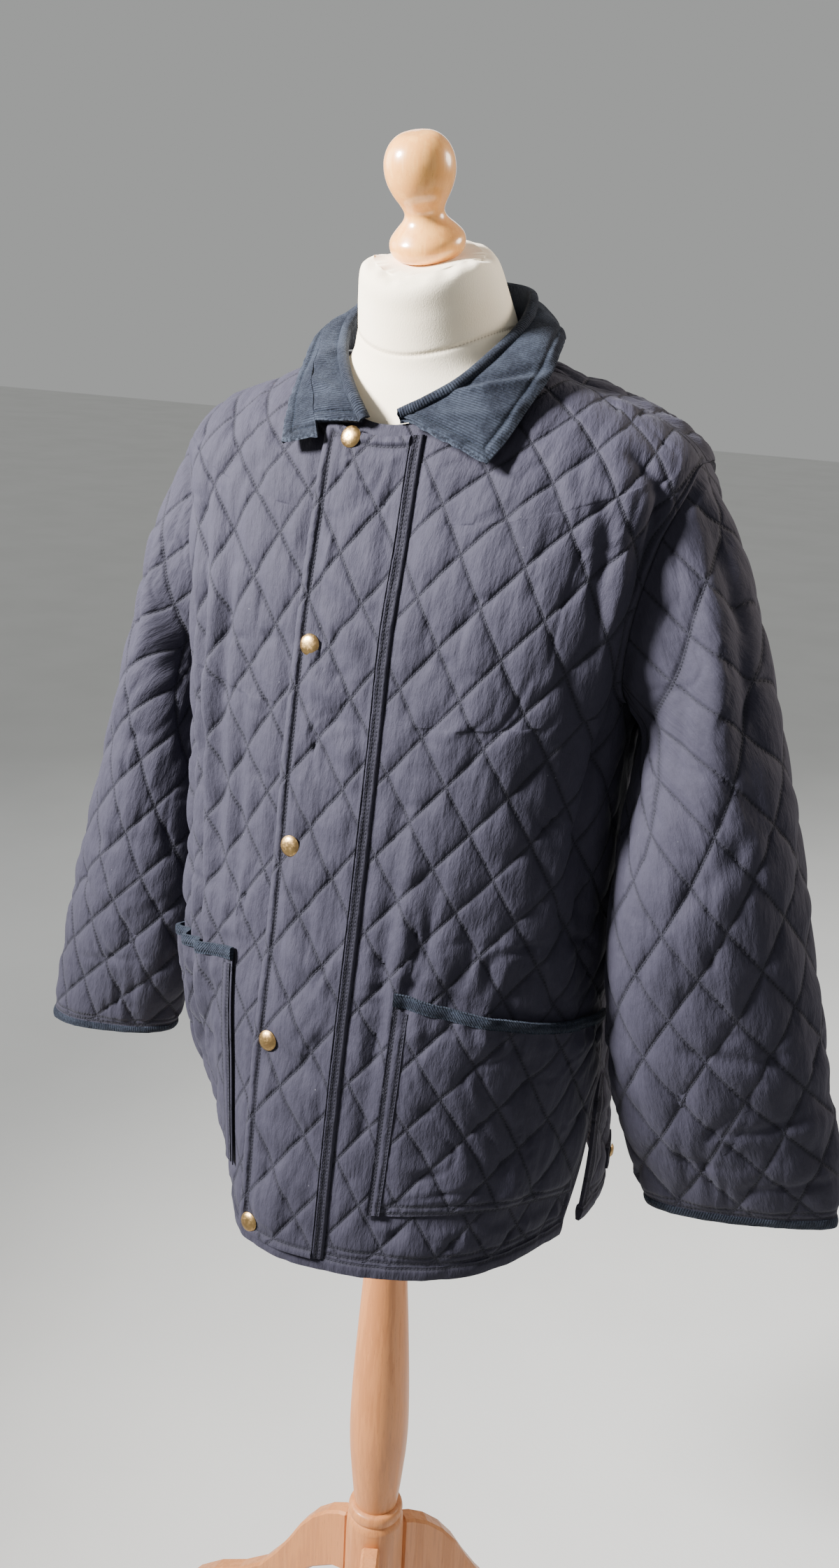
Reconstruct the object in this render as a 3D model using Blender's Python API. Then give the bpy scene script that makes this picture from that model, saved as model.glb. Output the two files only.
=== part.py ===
"""Quilted liner jacket on a limbless dress form with a turned wooden stand.

Metres, +Z up. The form faces -Y and its wearer's left is +X. The garment is made of thin
walls on two analytic surfaces: the body, a stack of rings around the pole's axis, and the
sleeve, a stack of rings from the armhole to the cuff. Everything that lies on a panel is
made from the panel's own surface, moved out along its normal.
"""
import bpy
import bmesh
import numpy as np
from math import cos, pi, radians, sin
from mathutils import Matrix, Vector

# ---------------------------------------------------------------- driving dimensions
WALL = 0.0032            # quilted cloth: shell, wadding and backing
FLAP_WALL = 0.0036
COLLAR_WALL = 0.0026
POCKET_WALL = 0.0028
SEAM_GAP = 0.0003        # between pieces that are sewn edge to edge
PANEL_GAP = 0.0003       # how far each panel stands back from its seams
LIE_GAP = 0.0009         # between a piece and the faceted panel that it lies on
BAND = 0.012             # hem binding
CUFF_BAND = 0.010
BINDING_EXTRA = 0.0006   # how much thicker a bound edge is, on each side
FLAP_LEFT = 0.023        # storm flap: sewn edge, to the wearer's left of the centre front
FLAP_RIGHT = -0.047      # its free edge
FLAP_TOP_DROP = 0.009
FLAP_SHORT = 0.010       # the flap ends above the hem of the left front
SNAP_RADIUS = 0.0083
WELT_WIDTH = 0.0085
VENT_TOP = 0.895         # height where the side vents begin
VENT_FRONT = 16.0        # degrees that the edges of a vent stand forward of the side at the hem
VENT_BACK = 8.0
ARMHOLE_FRONT = 19.0     # degrees of azimuth that the armhole takes from the front
ARMHOLE_BACK = 22.0
# Snap caps of the flap: distance from the middle and height.
SNAPS = ((-0.024, 1.3930), (-0.033, 1.2440), (-0.032, 1.0920), (-0.033, 0.9370), (-0.036, 0.7820))
POLE_TOP = 0.8297        # just under the flat bottom of the form
LEG_AZIMUTHS = (21.0, 141.0, 261.0)   # from the front towards the wearer's left
LEG_THICKNESS = 0.018

# Rings of the jacket's outer surface, hem to neckline. front, left, right and back are the points
# at azimuth 0, 90, -90 and 180 degrees; square is the exponent of the superellipse.
BODY_COLUMNS = ("front_y", "front_z", "left_x", "left_z", "right_x", "right_z", "side_y",
                "back_y", "back_z", "square")
BODY_RINGS = (
    (-0.183, 0.762, 0.190, 0.768, 0.170, 0.772, 0.002, 0.164, 0.776, 2.05),
    (-0.174, 0.820, 0.190, 0.828, 0.176, 0.830, 0.002, 0.160, 0.837, 2.10),
    (-0.163, 0.884, 0.188, 0.895, 0.181, 0.895, 0.003, 0.156, 0.908, 2.15),
    (-0.153, 0.946, 0.186, 0.957, 0.184, 0.957, 0.004, 0.152, 0.976, 2.25),
    (-0.142, 1.010, 0.184, 1.022, 0.184, 1.022, 0.005, 0.149, 1.046, 2.30),
    (-0.131, 1.075, 0.182, 1.087, 0.182, 1.087, 0.006, 0.147, 1.114, 2.40),
    (-0.121, 1.138, 0.181, 1.150, 0.181, 1.150, 0.008, 0.147, 1.180, 2.50),
    (-0.111, 1.196, 0.184, 1.212, 0.182, 1.212, 0.010, 0.145, 1.244, 2.60),
    (-0.101, 1.248, 0.197, 1.276, 0.190, 1.274, 0.013, 0.141, 1.304, 2.60),
    (-0.090, 1.296, 0.210, 1.338, 0.199, 1.334, 0.017, 0.133, 1.360, 2.55),
    (-0.079, 1.338, 0.217, 1.390, 0.205, 1.384, 0.022, 0.121, 1.406, 2.45),
    (-0.070, 1.373, 0.166, 1.424, 0.160, 1.417, 0.026, 0.106, 1.438, 2.30),
    (-0.060, 1.405, 0.076, 1.450, 0.076, 1.450, 0.018, 0.085, 1.466, 2.05),
)
# Beside the flap the right front falls in towards the hem.
SINK_DEPTH = 0.062
SINK_LIFT = 0.022         # and its hem rides up there
SINK_FROM = 15.0
SINK_ROWS = 3.6
ROW_PIT = 7              # rows of the table where the armhole begins and ends
ROW_SHOULDER = 10
ROW_NECK = 12

# Rings of each sleeve after the armhole: outer line, inner (underarm) line, half depth; x is
# the distance from the middle on either side.
SLEEVE_COLUMNS = ("out_x", "out_y", "out_z", "in_x", "in_y", "in_z", "depth")
SLEEVE_RINGS = {
    "left": (
        (0.246, 0.027, 1.334, 0.1925, 0.008, 1.188, 0.058),
        (0.273, 0.026, 1.262, 0.1945, -0.008, 1.152, 0.061),
        (0.300, 0.024, 1.187, 0.1945, -0.023, 1.106, 0.062),
        (0.324, 0.022, 1.100, 0.1950, -0.032, 1.046, 0.060),
        (0.346, 0.022, 1.016, 0.1990, -0.034, 0.980, 0.053),
        (0.363, 0.024, 0.938, 0.2080, -0.031, 0.912, 0.045),
        (0.379, 0.027, 0.868, 0.2240, -0.022, 0.853, 0.032),
        (0.388, 0.030, 0.800, 0.2410, -0.010, 0.796, 0.018),
    ),
    "right": (
        (0.232, 0.026, 1.330, 0.1900, 0.014, 1.186, 0.055),
        (0.252, 0.026, 1.256, 0.1935, 0.006, 1.152, 0.055),
        (0.276, 0.024, 1.180, 0.1945, 0.000, 1.108, 0.054),
        (0.303, 0.021, 1.096, 0.1960, -0.006, 1.050, 0.052),
        (0.330, 0.019, 1.014, 0.2000, -0.008, 0.986, 0.048),
        (0.352, 0.018, 0.938, 0.2080, -0.006, 0.922, 0.043),
        (0.371, 0.015, 0.868, 0.2240, 0.002, 0.868, 0.036),
        (0.388, 0.0115, 0.791, 0.2460, 0.0125, 0.811, 0.027),
    ),
}

# The collar from its end at the centre front to the centre back: roll line and outer edge.
COLLAR_COLUMNS = ("azimuth", "roll_x", "roll_y", "roll_z", "edge_x", "edge_y", "edge_z")
COLLAR_STATIONS = {
    "left": (
        (8.0, 0.0140, -0.0700, 1.4150, 0.0880, -0.0860, 1.3860),
        (26.0, 0.0310, -0.0640, 1.4240, 0.0955, -0.0680, 1.4020),
        (48.0, 0.0510, -0.0490, 1.4385, 0.1020, -0.0460, 1.4220),
        (70.0, 0.0635, -0.0220, 1.4570, 0.1080, -0.0180, 1.4440),
        (92.0, 0.0725, 0.0120, 1.4780, 0.0960, 0.0140, 1.4630),
        (118.0, 0.0680, 0.0460, 1.4950, 0.0890, 0.0540, 1.4700),
        (148.0, 0.0470, 0.0780, 1.5020, 0.0620, 0.0980, 1.4620),
        (180.0, 0.0000, 0.0935, 1.5050, 0.0000, 0.1150, 1.4520),
    ),
    "right": (
        (8.0, 0.0100, -0.0700, 1.4025, 0.0785, -0.0860, 1.3865),
        (26.0, 0.0280, -0.0600, 1.4220, 0.0870, -0.0650, 1.4040),
        (48.0, 0.0510, -0.0340, 1.4395, 0.0950, -0.0380, 1.4210),
        (70.0, 0.0715, -0.0020, 1.4560, 0.1010, -0.0060, 1.4430),
        (92.0, 0.0810, 0.0240, 1.4730, 0.1060, 0.0200, 1.4580),
        (118.0, 0.0780, 0.0540, 1.4920, 0.1030, 0.0560, 1.4660),
        (148.0, 0.0520, 0.0800, 1.5010, 0.0720, 0.0970, 1.4600),
        (180.0, 0.0000, 0.0935, 1.5050, 0.0000, 0.1150, 1.4520),
    ),
}
ROLL_RADIUS = 0.0034
ROLL_START = 0.30        # share of the profile where the stand ends, and where the fall begins
ROLL_END = 0.45
COLLAR_BULGE = 0.0045
# The collar's right end is cut away where the flap's corner lies in front of it.
CUT_AT_ROLL = 0.044
CUT_AT_CORNER = 0.070
CORNER_PLACE = 0.745
FOOT_GAP = 0.0009        # between the neckline and the middle of the collar's foot, along the stand
FOOT_LIFT = (0.0, 0.0, 0.0006)

# Rings of the dress form, from its flat bottom to the rim of its neck.
FORM_COLUMNS = ("front_y", "front_z", "side_x", "side_z", "side_y", "back_y", "back_z", "square")
FORM_RINGS = (
    (-0.098, 0.830, 0.128, 0.830, 0.004, 0.108, 0.830, 2.3),
    (-0.106, 0.836, 0.138, 0.836, 0.004, 0.116, 0.836, 2.3),
    (-0.112, 0.860, 0.146, 0.860, 0.004, 0.122, 0.860, 2.3),
    (-0.113, 0.930, 0.149, 0.930, 0.005, 0.122, 0.930, 2.3),
    (-0.104, 1.010, 0.141, 1.010, 0.006, 0.112, 1.010, 2.3),
    (-0.098, 1.090, 0.138, 1.090, 0.007, 0.108, 1.090, 2.3),
    (-0.098, 1.160, 0.146, 1.165, 0.009, 0.116, 1.170, 2.4),
    (-0.094, 1.220, 0.158, 1.235, 0.011, 0.126, 1.245, 2.5),
    (-0.084, 1.270, 0.173, 1.300, 0.014, 0.128, 1.315, 2.5),
    (-0.074, 1.312, 0.187, 1.350, 0.018, 0.119, 1.368, 2.45),
    (-0.066, 1.344, 0.186, 1.3880, 0.023, 0.106, 1.407, 2.35),
    (-0.058, 1.375, 0.148, 1.4135, 0.026, 0.0905, 1.4305, 2.2),
    (-0.050, 1.404, 0.098, 1.4337, 0.023, 0.0768, 1.4513, 2.1),
    (-0.042, 1.430, 0.0696, 1.4490, 0.022, 0.0755, 1.4714, 2.0),
    (-0.040, 1.4490, 0.0620, 1.4700, 0.0225, 0.0800, 1.4900, 2.0),
    (-0.0460, 1.478, 0.0565, 1.4960, 0.0105, 0.0675, 1.5140, 2.0),
    (-0.0500, 1.494, 0.0525, 1.5130, 0.0035, 0.0570, 1.5310, 2.0),
    (-0.0475, 1.5025, 0.0485, 1.5195, 0.0010, 0.0500, 1.5365, 2.0),
    (-0.0400, 1.5080, 0.0405, 1.5220, -0.0005, 0.0390, 1.5360, 2.0),
)
CAP_TILT = radians(19.5)
FINIAL_SEAT = (0.0, -0.0010, 1.5222)

# Turned profiles: radius and height, top to bottom.
FINIAL_PROFILE = (
    (0.0, 0.0865), (0.0125, 0.0850), (0.0202, 0.0795), (0.0246, 0.0715), (0.0259, 0.0630),
    (0.0249, 0.0545), (0.0216, 0.0460), (0.0174, 0.0388), (0.0150, 0.0336), (0.0149, 0.0298),
    (0.0172, 0.0255), (0.0232, 0.0195), (0.0272, 0.0145), (0.0282, 0.0098), (0.0272, 0.0047),
    (0.0238, 0.0010), (0.0200, 0.0),
)
POLE_PROFILE = (
    (0.0172, POLE_TOP), (0.0174, 0.760), (0.0184, 0.690), (0.0206, 0.627), (0.0236, 0.575),
    (0.0269, 0.512), (0.0284, 0.462), (0.0278, 0.432), (0.0261, 0.409), (0.0240, 0.386),
    (0.0212, 0.3600),
)
HUB_TOP = 0.3597
HUB_BOTTOM = 0.222
HUB_PROFILE = (
    (0.0215, HUB_TOP), (0.0252, 0.3578), (0.0268, 0.3535), (0.0266, 0.3490), (0.0250, 0.3462),
    (0.0262, 0.3440), (0.0278, 0.3395), (0.0276, 0.3350), (0.0262, 0.3325), (0.0283, 0.3300),
    (0.0283, 0.2320), (0.0262, HUB_BOTTOM),
)
# Outline of a leg in its own plane: reach from the pole's axis and height.
LEG_TOP = (
    (0.0287, 0.3290), (0.040, 0.3255), (0.056, 0.3160), (0.074, 0.2990), (0.090, 0.2770),
    (0.105, 0.2490), (0.122, 0.2210), (0.144, 0.1900), (0.175, 0.1630), (0.210, 0.1400),
    (0.242, 0.1110), (0.268, 0.0760), (0.286, 0.0380), (0.294, 0.0100),
)
LEG_UNDER = (
    (0.290, 0.0), (0.252, 0.0), (0.238, 0.0280), (0.216, 0.0600), (0.190, 0.0860),
    (0.162, 0.1080), (0.138, 0.1350), (0.118, 0.1680), (0.098, 0.2020), (0.072, 0.2310),
    (0.046, 0.2500), (0.0287, 0.2540),
)
LEG_BEVEL = 0.0025


# ---------------------------------------------------------------- surfaces
def hermite(table, at):
    """Rows of a table joined by smooth curves; at holds row numbers, whole or between."""
    table = np.asarray(table, float)
    at = np.clip(np.asarray(at, float), 0.0, len(table) - 1.0)
    low = np.minimum(at.astype(int), len(table) - 2)
    part = (at - low)[..., None]
    slopes = np.gradient(table, axis=0)
    start, end = table[low], table[low + 1]
    p2, p3 = part ** 2, part ** 3
    return ((2 * p3 - 3 * p2 + 1) * start + (p3 - 2 * p2 + part) * slopes[low]
            + (3 * p2 - 2 * p3) * end + (p3 - p2) * slopes[low + 1])


def ring_surface(table, azimuth, row):
    """Point of a stack of rings at an azimuth in degrees and a row of the table."""
    azimuth, row = np.broadcast_arrays(np.asarray(azimuth, float), np.asarray(row, float))
    ring = np.moveaxis(hermite(table, row), -1, 0)
    front_y, front_z, left_x, left_z, right_x, right_z, side_y, back_y, back_z, square = ring
    turn = np.radians(azimuth)
    across, ahead = np.sin(turn), np.cos(turn)
    power = 2.0 / square
    side_x = np.where(across > 0, left_x, right_x)
    side_z = np.where(across > 0, left_z, right_z)
    middle_z = (left_z + right_z) / 2
    far_y = np.where(ahead > 0, front_y, back_y)
    far_z = np.where(ahead > 0, front_z, back_z)
    x = side_x * np.sign(across) * np.abs(across) ** power
    y = side_y + (far_y - side_y) * np.abs(ahead) ** power
    z = middle_z + (far_z - middle_z) * ahead ** 2 + (side_z - middle_z) * across ** 2
    return np.stack([x, y, z], -1)


def both_sides(rings):
    """Rings with one side written out as rings with a left and a right side alike."""
    return [(front_y, front_z, side_x, side_z, side_x, side_z, side_y, back_y, back_z, square)
            for front_y, front_z, side_x, side_z, side_y, back_y, back_z, square in rings]


def body(azimuth, row):
    points = ring_surface(BODY_RINGS, azimuth, row)
    azimuth, row = np.broadcast_arrays(np.asarray(azimuth, float), np.asarray(row, float))
    share = np.clip((-azimuth - SINK_FROM) / (90.0 - SINK_FROM), 0.0, 1.0)
    fade = np.clip(1 - row / SINK_ROWS, 0.0, 1.0) ** 1.5
    sunk = np.sin(pi * share ** 0.8) ** 2 * fade
    points[..., 1] += SINK_DEPTH * sunk
    points[..., 2] += SINK_LIFT * sunk
    return points


def unit(vectors):
    return vectors / np.maximum(np.linalg.norm(vectors, axis=-1, keepdims=True), 1e-12)


def normals_of(surface, a, b, step_a, step_b, low_b=None, high_b=None):
    """Outward unit normals of surface(a, b) by differences; b may be held within a range."""
    a, b = np.broadcast_arrays(np.asarray(a, float), np.asarray(b, float))
    b_before, b_after = b - step_b, b + step_b
    if low_b is not None:
        b_before = np.maximum(b_before, low_b)
        b_after = np.minimum(b_after, high_b)
    along_a = surface(a + step_a, b) - surface(a - step_a, b)
    along_b = surface(a, b_after) - surface(a, b_before)
    return unit(np.cross(along_a, along_b))


def body_normal(azimuth, row):
    return normals_of(body, azimuth, row, 1.0, 0.05, 0.0, ROW_NECK)


def row_at_height(height, azimuth=0.0):
    """Row of the body's table that passes a height at an azimuth."""
    rows = np.linspace(0.0, ROW_NECK, 601)
    return float(np.interp(height, body(azimuth, rows)[:, 2], rows))


def azimuth_at_x(x, row):
    """Front azimuth of the body's surface at a distance from the middle."""
    samples = np.linspace(-89.0, 89.0, 713)
    return float(np.interp(x, body(samples, row)[:, 0], samples))


def armhole(theta):
    """Azimuth and row of the armhole at an angle: 0 at the shoulder, 90 degrees at the front."""
    middle, half = (ROW_PIT + ROW_SHOULDER) / 2.0, (ROW_SHOULDER - ROW_PIT) / 2.0
    across = np.sin(theta)
    reach = np.where(across > 0, ARMHOLE_FRONT, ARMHOLE_BACK)
    return 90.0 - reach * across, middle + half * np.cos(theta)


def sleeve_rings(side):
    """Middle, half width and half depth of the rings of a sleeve, as on the wearer's left."""
    rings = np.array(SLEEVE_RINGS[side])
    outer, inner = rings[:, 0:3], rings[:, 3:6]
    return (outer + inner) / 2, (outer - inner) / 2, rings[:, 6]


def sleeve_surface(side):
    """surface(theta, station) of a sleeve; station 0 is the armhole, the last one the cuff."""
    middle, half, depth = sleeve_rings(side)
    mirror = np.array([1.0 if side == "left" else -1.0, 1.0, 1.0])

    def surface(theta, station):
        theta, station = np.broadcast_arrays(np.asarray(theta, float), np.asarray(station, float))
        flat_theta, flat_station = theta.ravel(), station.ravel()
        cosine, sine = np.cos(flat_theta), np.sin(flat_theta)
        front = unit(np.stack([half[:, 1], -half[:, 0], np.zeros(len(half))], -1))
        rings = (middle[:, None] + half[:, None] * cosine[None, :, None]
                 + front[:, None] * (depth[:, None] * sine[None, :])[..., None])
        azimuth, row = armhole(flat_theta)
        start = body(mirror[0] * azimuth, row) * mirror
        stack = np.concatenate([start[None], rings])
        low = np.minimum(np.maximum(flat_station, 0).astype(int), len(stack) - 2)
        part = (flat_station - low)[:, None]
        slopes = np.gradient(stack, axis=0)
        pick = np.arange(len(flat_theta))
        p2, p3 = part ** 2, part ** 3
        points = ((2 * p3 - 3 * p2 + 1) * stack[low, pick]
                  + (p3 - 2 * p2 + part) * slopes[low, pick]
                  + (3 * p2 - 2 * p3) * stack[low + 1, pick]
                  + (p3 - p2) * slopes[low + 1, pick])
        return (points * mirror).reshape(theta.shape + (3,))

    return surface


LAST_STATION = float(len(SLEEVE_RINGS["left"]))


# ---------------------------------------------------------------- meshes
def material(name, colour, roughness, metallic=0.0):
    made = bpy.data.materials.new(name)
    made.use_nodes = True
    shader = made.node_tree.nodes["Principled BSDF"]
    shader.inputs["Base Color"].default_value = (*colour, 1.0)
    shader.inputs["Roughness"].default_value = roughness
    shader.inputs["Metallic"].default_value = metallic
    return made


def add_object(name, vertices, faces, finish, smooth=True):
    mesh = bpy.data.meshes.new(name)
    mesh.from_pydata([tuple(map(float, v)) for v in vertices], [], faces)
    work = bmesh.new()
    work.from_mesh(mesh)
    bmesh.ops.recalc_face_normals(work, faces=work.faces)
    work.to_mesh(mesh)
    work.free()
    if smooth:
        mesh.shade_smooth()
        mesh.set_sharp_from_angle(angle=radians(50))
    mesh.materials.append(finish)
    made = bpy.data.objects.new(name, mesh)
    bpy.context.collection.objects.link(made)
    made.parent = ROOT
    return made


def wall(name, outer, inner, finish, closed=False):
    """A closed wall between two grids (rows x columns); closed joins the last column to the first."""
    rows, columns = outer.shape[:2]
    vertices = np.concatenate([outer.reshape(-1, 3), inner.reshape(-1, 3)])
    shift = rows * columns

    def at(row, column, layer):
        return layer * shift + row * columns + column % columns

    faces = []
    spans = columns if closed else columns - 1
    for row in range(rows - 1):
        for column in range(spans):
            for layer in (0, 1):
                quad = [at(row, column, layer), at(row, column + 1, layer),
                        at(row + 1, column + 1, layer), at(row + 1, column, layer)]
                faces.append(quad if layer == 0 else quad[::-1])
    for column in range(spans):
        faces.append([at(0, column + 1, 0), at(0, column, 0), at(0, column, 1), at(0, column + 1, 1)])
        last = rows - 1
        faces.append([at(last, column, 0), at(last, column + 1, 0),
                      at(last, column + 1, 1), at(last, column, 1)])
    if not closed:
        for row in range(rows - 1):
            faces.append([at(row, 0, 0), at(row + 1, 0, 0), at(row + 1, 0, 1), at(row, 0, 1)])
            last = columns - 1
            faces.append([at(row + 1, last, 0), at(row, last, 0), at(row, last, 1), at(row + 1, last, 1)])
    return add_object(name, vertices, faces, finish)


def pull_edges(grid, ends=(), sides=(), gap=SEAM_GAP / 2):
    """Move the border rows (ends) and columns (sides) of a grid in by half a seam gap."""
    grid = grid.copy()
    for edge, beside in ((0, 1), (-1, -2)):
        if edge in ends:
            grid[edge] += unit(grid[beside] - grid[edge]) * gap
    for edge, beside in ((0, 1), (-1, -2)):
        if edge in sides:
            grid[:, edge] += unit(grid[:, beside] - grid[:, edge]) * gap
    return grid


def lathe(name, profile, finish, segments=40, location=(0, 0, 0), turn=None):
    """A closed turned solid from a profile that runs top to bottom."""
    vertices, rings = [], []
    for radius, height in profile:
        if radius == 0.0:
            rings.append([len(vertices)])
            vertices.append((0.0, 0.0, height))
        else:
            rings.append(list(range(len(vertices), len(vertices) + segments)))
            vertices += [(radius * cos(2 * pi * k / segments), radius * sin(2 * pi * k / segments), height)
                         for k in range(segments)]
    faces = []
    for upper, lower in zip(rings, rings[1:]):
        for k in range(segments):
            after = (k + 1) % segments
            if len(upper) == 1:
                faces.append([upper[0], lower[k], lower[after]])
            elif len(lower) == 1:
                faces.append([upper[k], lower[0], upper[after]])
            else:
                faces.append([upper[k], lower[k], lower[after], upper[after]])
    for ring in (rings[0], rings[-1]):
        if len(ring) > 1:
            faces.append(ring)
    made = add_object(name, vertices, faces, finish)
    made.location = location
    if turn is not None:
        made.rotation_euler = turn
    return made


# ---------------------------------------------------------------- garment pieces
THETAS = np.linspace(0.0, pi, 9)         # half of the armhole, shoulder to pit
ROWS_LOW = np.array([0.0, 0.8, 1.6, 2.4, 3.2, 4.0, 4.8, 5.6, 6.3])
BAND_ROW = row_at_height(BODY_RINGS[0][1] + BAND)


def panel_rows():
    """Rows of a panel from its binding up: below, along and above the armhole."""
    _, hole = armhole(THETAS[::-1])
    low = np.concatenate([[BAND_ROW], ROWS_LOW[1:]])
    return np.concatenate([low, hole, [10.7, 11.4, ROW_NECK]])


def side_azimuth(rows, front):
    """Azimuth of a panel's side edge: side seam with its vent, armhole, shoulder seam."""
    middle, half = (ROW_PIT + ROW_SHOULDER) / 2.0, (ROW_SHOULDER - ROW_PIT) / 2.0
    inside = np.clip(1 - ((rows - middle) / half) ** 2, 0.0, 1.0)
    vent_row = row_at_height(VENT_TOP, 90.0)
    vent = np.clip((vent_row - rows) / vent_row, 0.0, 1.0)
    if front:
        return 90.0 - ARMHOLE_FRONT * np.sqrt(inside) - VENT_FRONT * vent ** 0.75
    return 90.0 + ARMHOLE_BACK * np.sqrt(inside) - VENT_BACK * vent


def armhole_seam(side, thetas):
    """At each angle of the armhole: the way into the cloth and the way from sleeve to panel."""
    mirror = 1.0 if side == "left" else -1.0
    middle = (ROW_PIT + ROW_SHOULDER) / 2.0
    surface = sleeve_surface(side)
    nothing = np.zeros_like(thetas)

    def across(vectors):
        return vectors - along * (vectors * along).sum(-1, keepdims=True)

    along = unit(surface(thetas + 0.02, nothing) - surface(thetas - 0.02, nothing))
    azimuth, row = armhole(thetas)
    seam = body(mirror * azimuth, row)
    wider = body(mirror * (90.0 + (azimuth - 90.0) * 1.05), middle + (row - middle) * 1.05)
    into_panel = unit(across(wider - seam))
    into_sleeve = unit(across(surface(thetas, nothing + 0.2) - seam))
    normals = body_normal(mirror * azimuth, row) + sleeve_normal(side, thetas, nothing + 0.25)
    inward = unit(across(-normals))
    apart = across(into_panel - into_sleeve)
    apart = unit(apart - inward * (apart * inward).sum(-1, keepdims=True))
    return inward, apart


def sleeve_normal(side, theta, station):
    facing = 1.0 if side == "left" else -1.0
    return facing * normals_of(sleeve_surface(side), theta, station, 0.02, 0.05, 0.0, LAST_STATION)


def body_grid(azimuths, rows, offset):
    rows = np.broadcast_to(np.asarray(rows, float)[:, None], azimuths.shape)
    return body(azimuths, rows) + body_normal(azimuths, rows) * offset


def panel_grids(side, front, rows, columns, thickness):
    """Outer and inner grid of a front (side left or right) or of half a back."""
    mirror = 1.0 if side == "left" else -1.0
    edge = side_azimuth(rows, front)
    start = 0.0 if front else 180.0
    share = np.linspace(0.0, 1.0, columns)
    azimuths = mirror * (start + (edge - start)[:, None] * share[None, :])
    outer = body_grid(azimuths, rows, 0.0)
    inner = body_grid(azimuths, rows, -thickness)
    _, hole = armhole(THETAS)
    for number, row in enumerate(rows):
        match = np.flatnonzero(np.abs(hole - row) < 1e-9)
        if len(match):
            theta = THETAS[match[0]] if front else -THETAS[match[0]]
            inward, apart = armhole_seam(side, np.array([theta]))
            outer[number, -1] += apart[0] * PANEL_GAP
            inner[number, -1] = outer[number, -1] + inward[0] * thickness
    return outer, inner


def make_fronts(cloth, binding):
    rows = panel_rows()
    band_rows = np.array([0.0, BAND_ROW])
    for side in ("left", "right"):
        outer, inner = panel_grids(side, True, rows, 12, WALL)
        wall("front_" + side, pull_edges(outer, (0, -1), (0, -1), PANEL_GAP),
             pull_edges(inner, (0, -1), (0, -1), PANEL_GAP), cloth)
        outer, inner = panel_grids(side, True, band_rows, 12, WALL)
        normal = unit(outer - inner)
        outer, inner = outer + normal * BINDING_EXTRA, inner - normal * BINDING_EXTRA
        wall("hem_binding_front_" + side, pull_edges(outer, (-1,), (0, -1), PANEL_GAP),
             pull_edges(inner, (-1,), (0, -1), PANEL_GAP), binding)


def join_halves(left, right):
    """One grid across the back from its two half grids, which share the centre back."""
    return np.concatenate([left[:, ::-1], right[:, 1:]], axis=1)


def make_back(cloth, binding):
    rows = panel_rows()
    band_rows = np.array([0.0, BAND_ROW])
    halves = [panel_grids(side, False, rows, 12, WALL) for side in ("left", "right")]
    outer = join_halves(halves[0][0], halves[1][0])
    inner = join_halves(halves[0][1], halves[1][1])
    wall("back", pull_edges(outer, (0, -1), (0, -1), PANEL_GAP),
         pull_edges(inner, (0, -1), (0, -1), PANEL_GAP), cloth)
    halves = [panel_grids(side, False, band_rows, 12, WALL) for side in ("left", "right")]
    outer = join_halves(halves[0][0], halves[1][0])
    inner = join_halves(halves[0][1], halves[1][1])
    normal = unit(outer - inner)
    outer, inner = outer + normal * BINDING_EXTRA, inner - normal * BINDING_EXTRA
    wall("hem_binding_back", pull_edges(outer, (-1,), (0, -1), PANEL_GAP),
         pull_edges(inner, (-1,), (0, -1), PANEL_GAP), binding)


def make_sleeve(side, cloth, binding):
    thetas = np.concatenate([THETAS[:-1], 2 * pi - THETAS[:0:-1]])
    surface = sleeve_surface(side)
    cuff_length = np.linalg.norm(surface(0.0, LAST_STATION) - surface(0.0, LAST_STATION - 1))
    cuff_start = LAST_STATION - CUFF_BAND / cuff_length
    stations = np.concatenate([[0.0, 0.35, 0.75], np.arange(1.25, LAST_STATION - 0.4, 0.62), [cuff_start]])

    def grids(levels, extra):
        theta = np.broadcast_to(thetas[None, :], (len(levels), len(thetas)))
        level = np.broadcast_to(levels[:, None], theta.shape)
        points, normal = surface(theta, level), sleeve_normal(side, theta, level)
        return points + normal * extra, points - normal * (WALL + extra)

    outer, inner = grids(stations, 0.0)
    inward, apart = armhole_seam(side, thetas)
    outer[0] -= apart * PANEL_GAP
    inner[0] = outer[0] + inward * WALL
    wall("sleeve_" + side, pull_edges(outer, (-1,), (), PANEL_GAP),
         pull_edges(inner, (-1,), (), PANEL_GAP), cloth, closed=True)
    outer, inner = grids(np.array([cuff_start, LAST_STATION]), BINDING_EXTRA)
    wall("cuff_binding_" + side, pull_edges(outer, (0,), (), PANEL_GAP),
         pull_edges(inner, (0,), (), PANEL_GAP), binding, closed=True)


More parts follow.
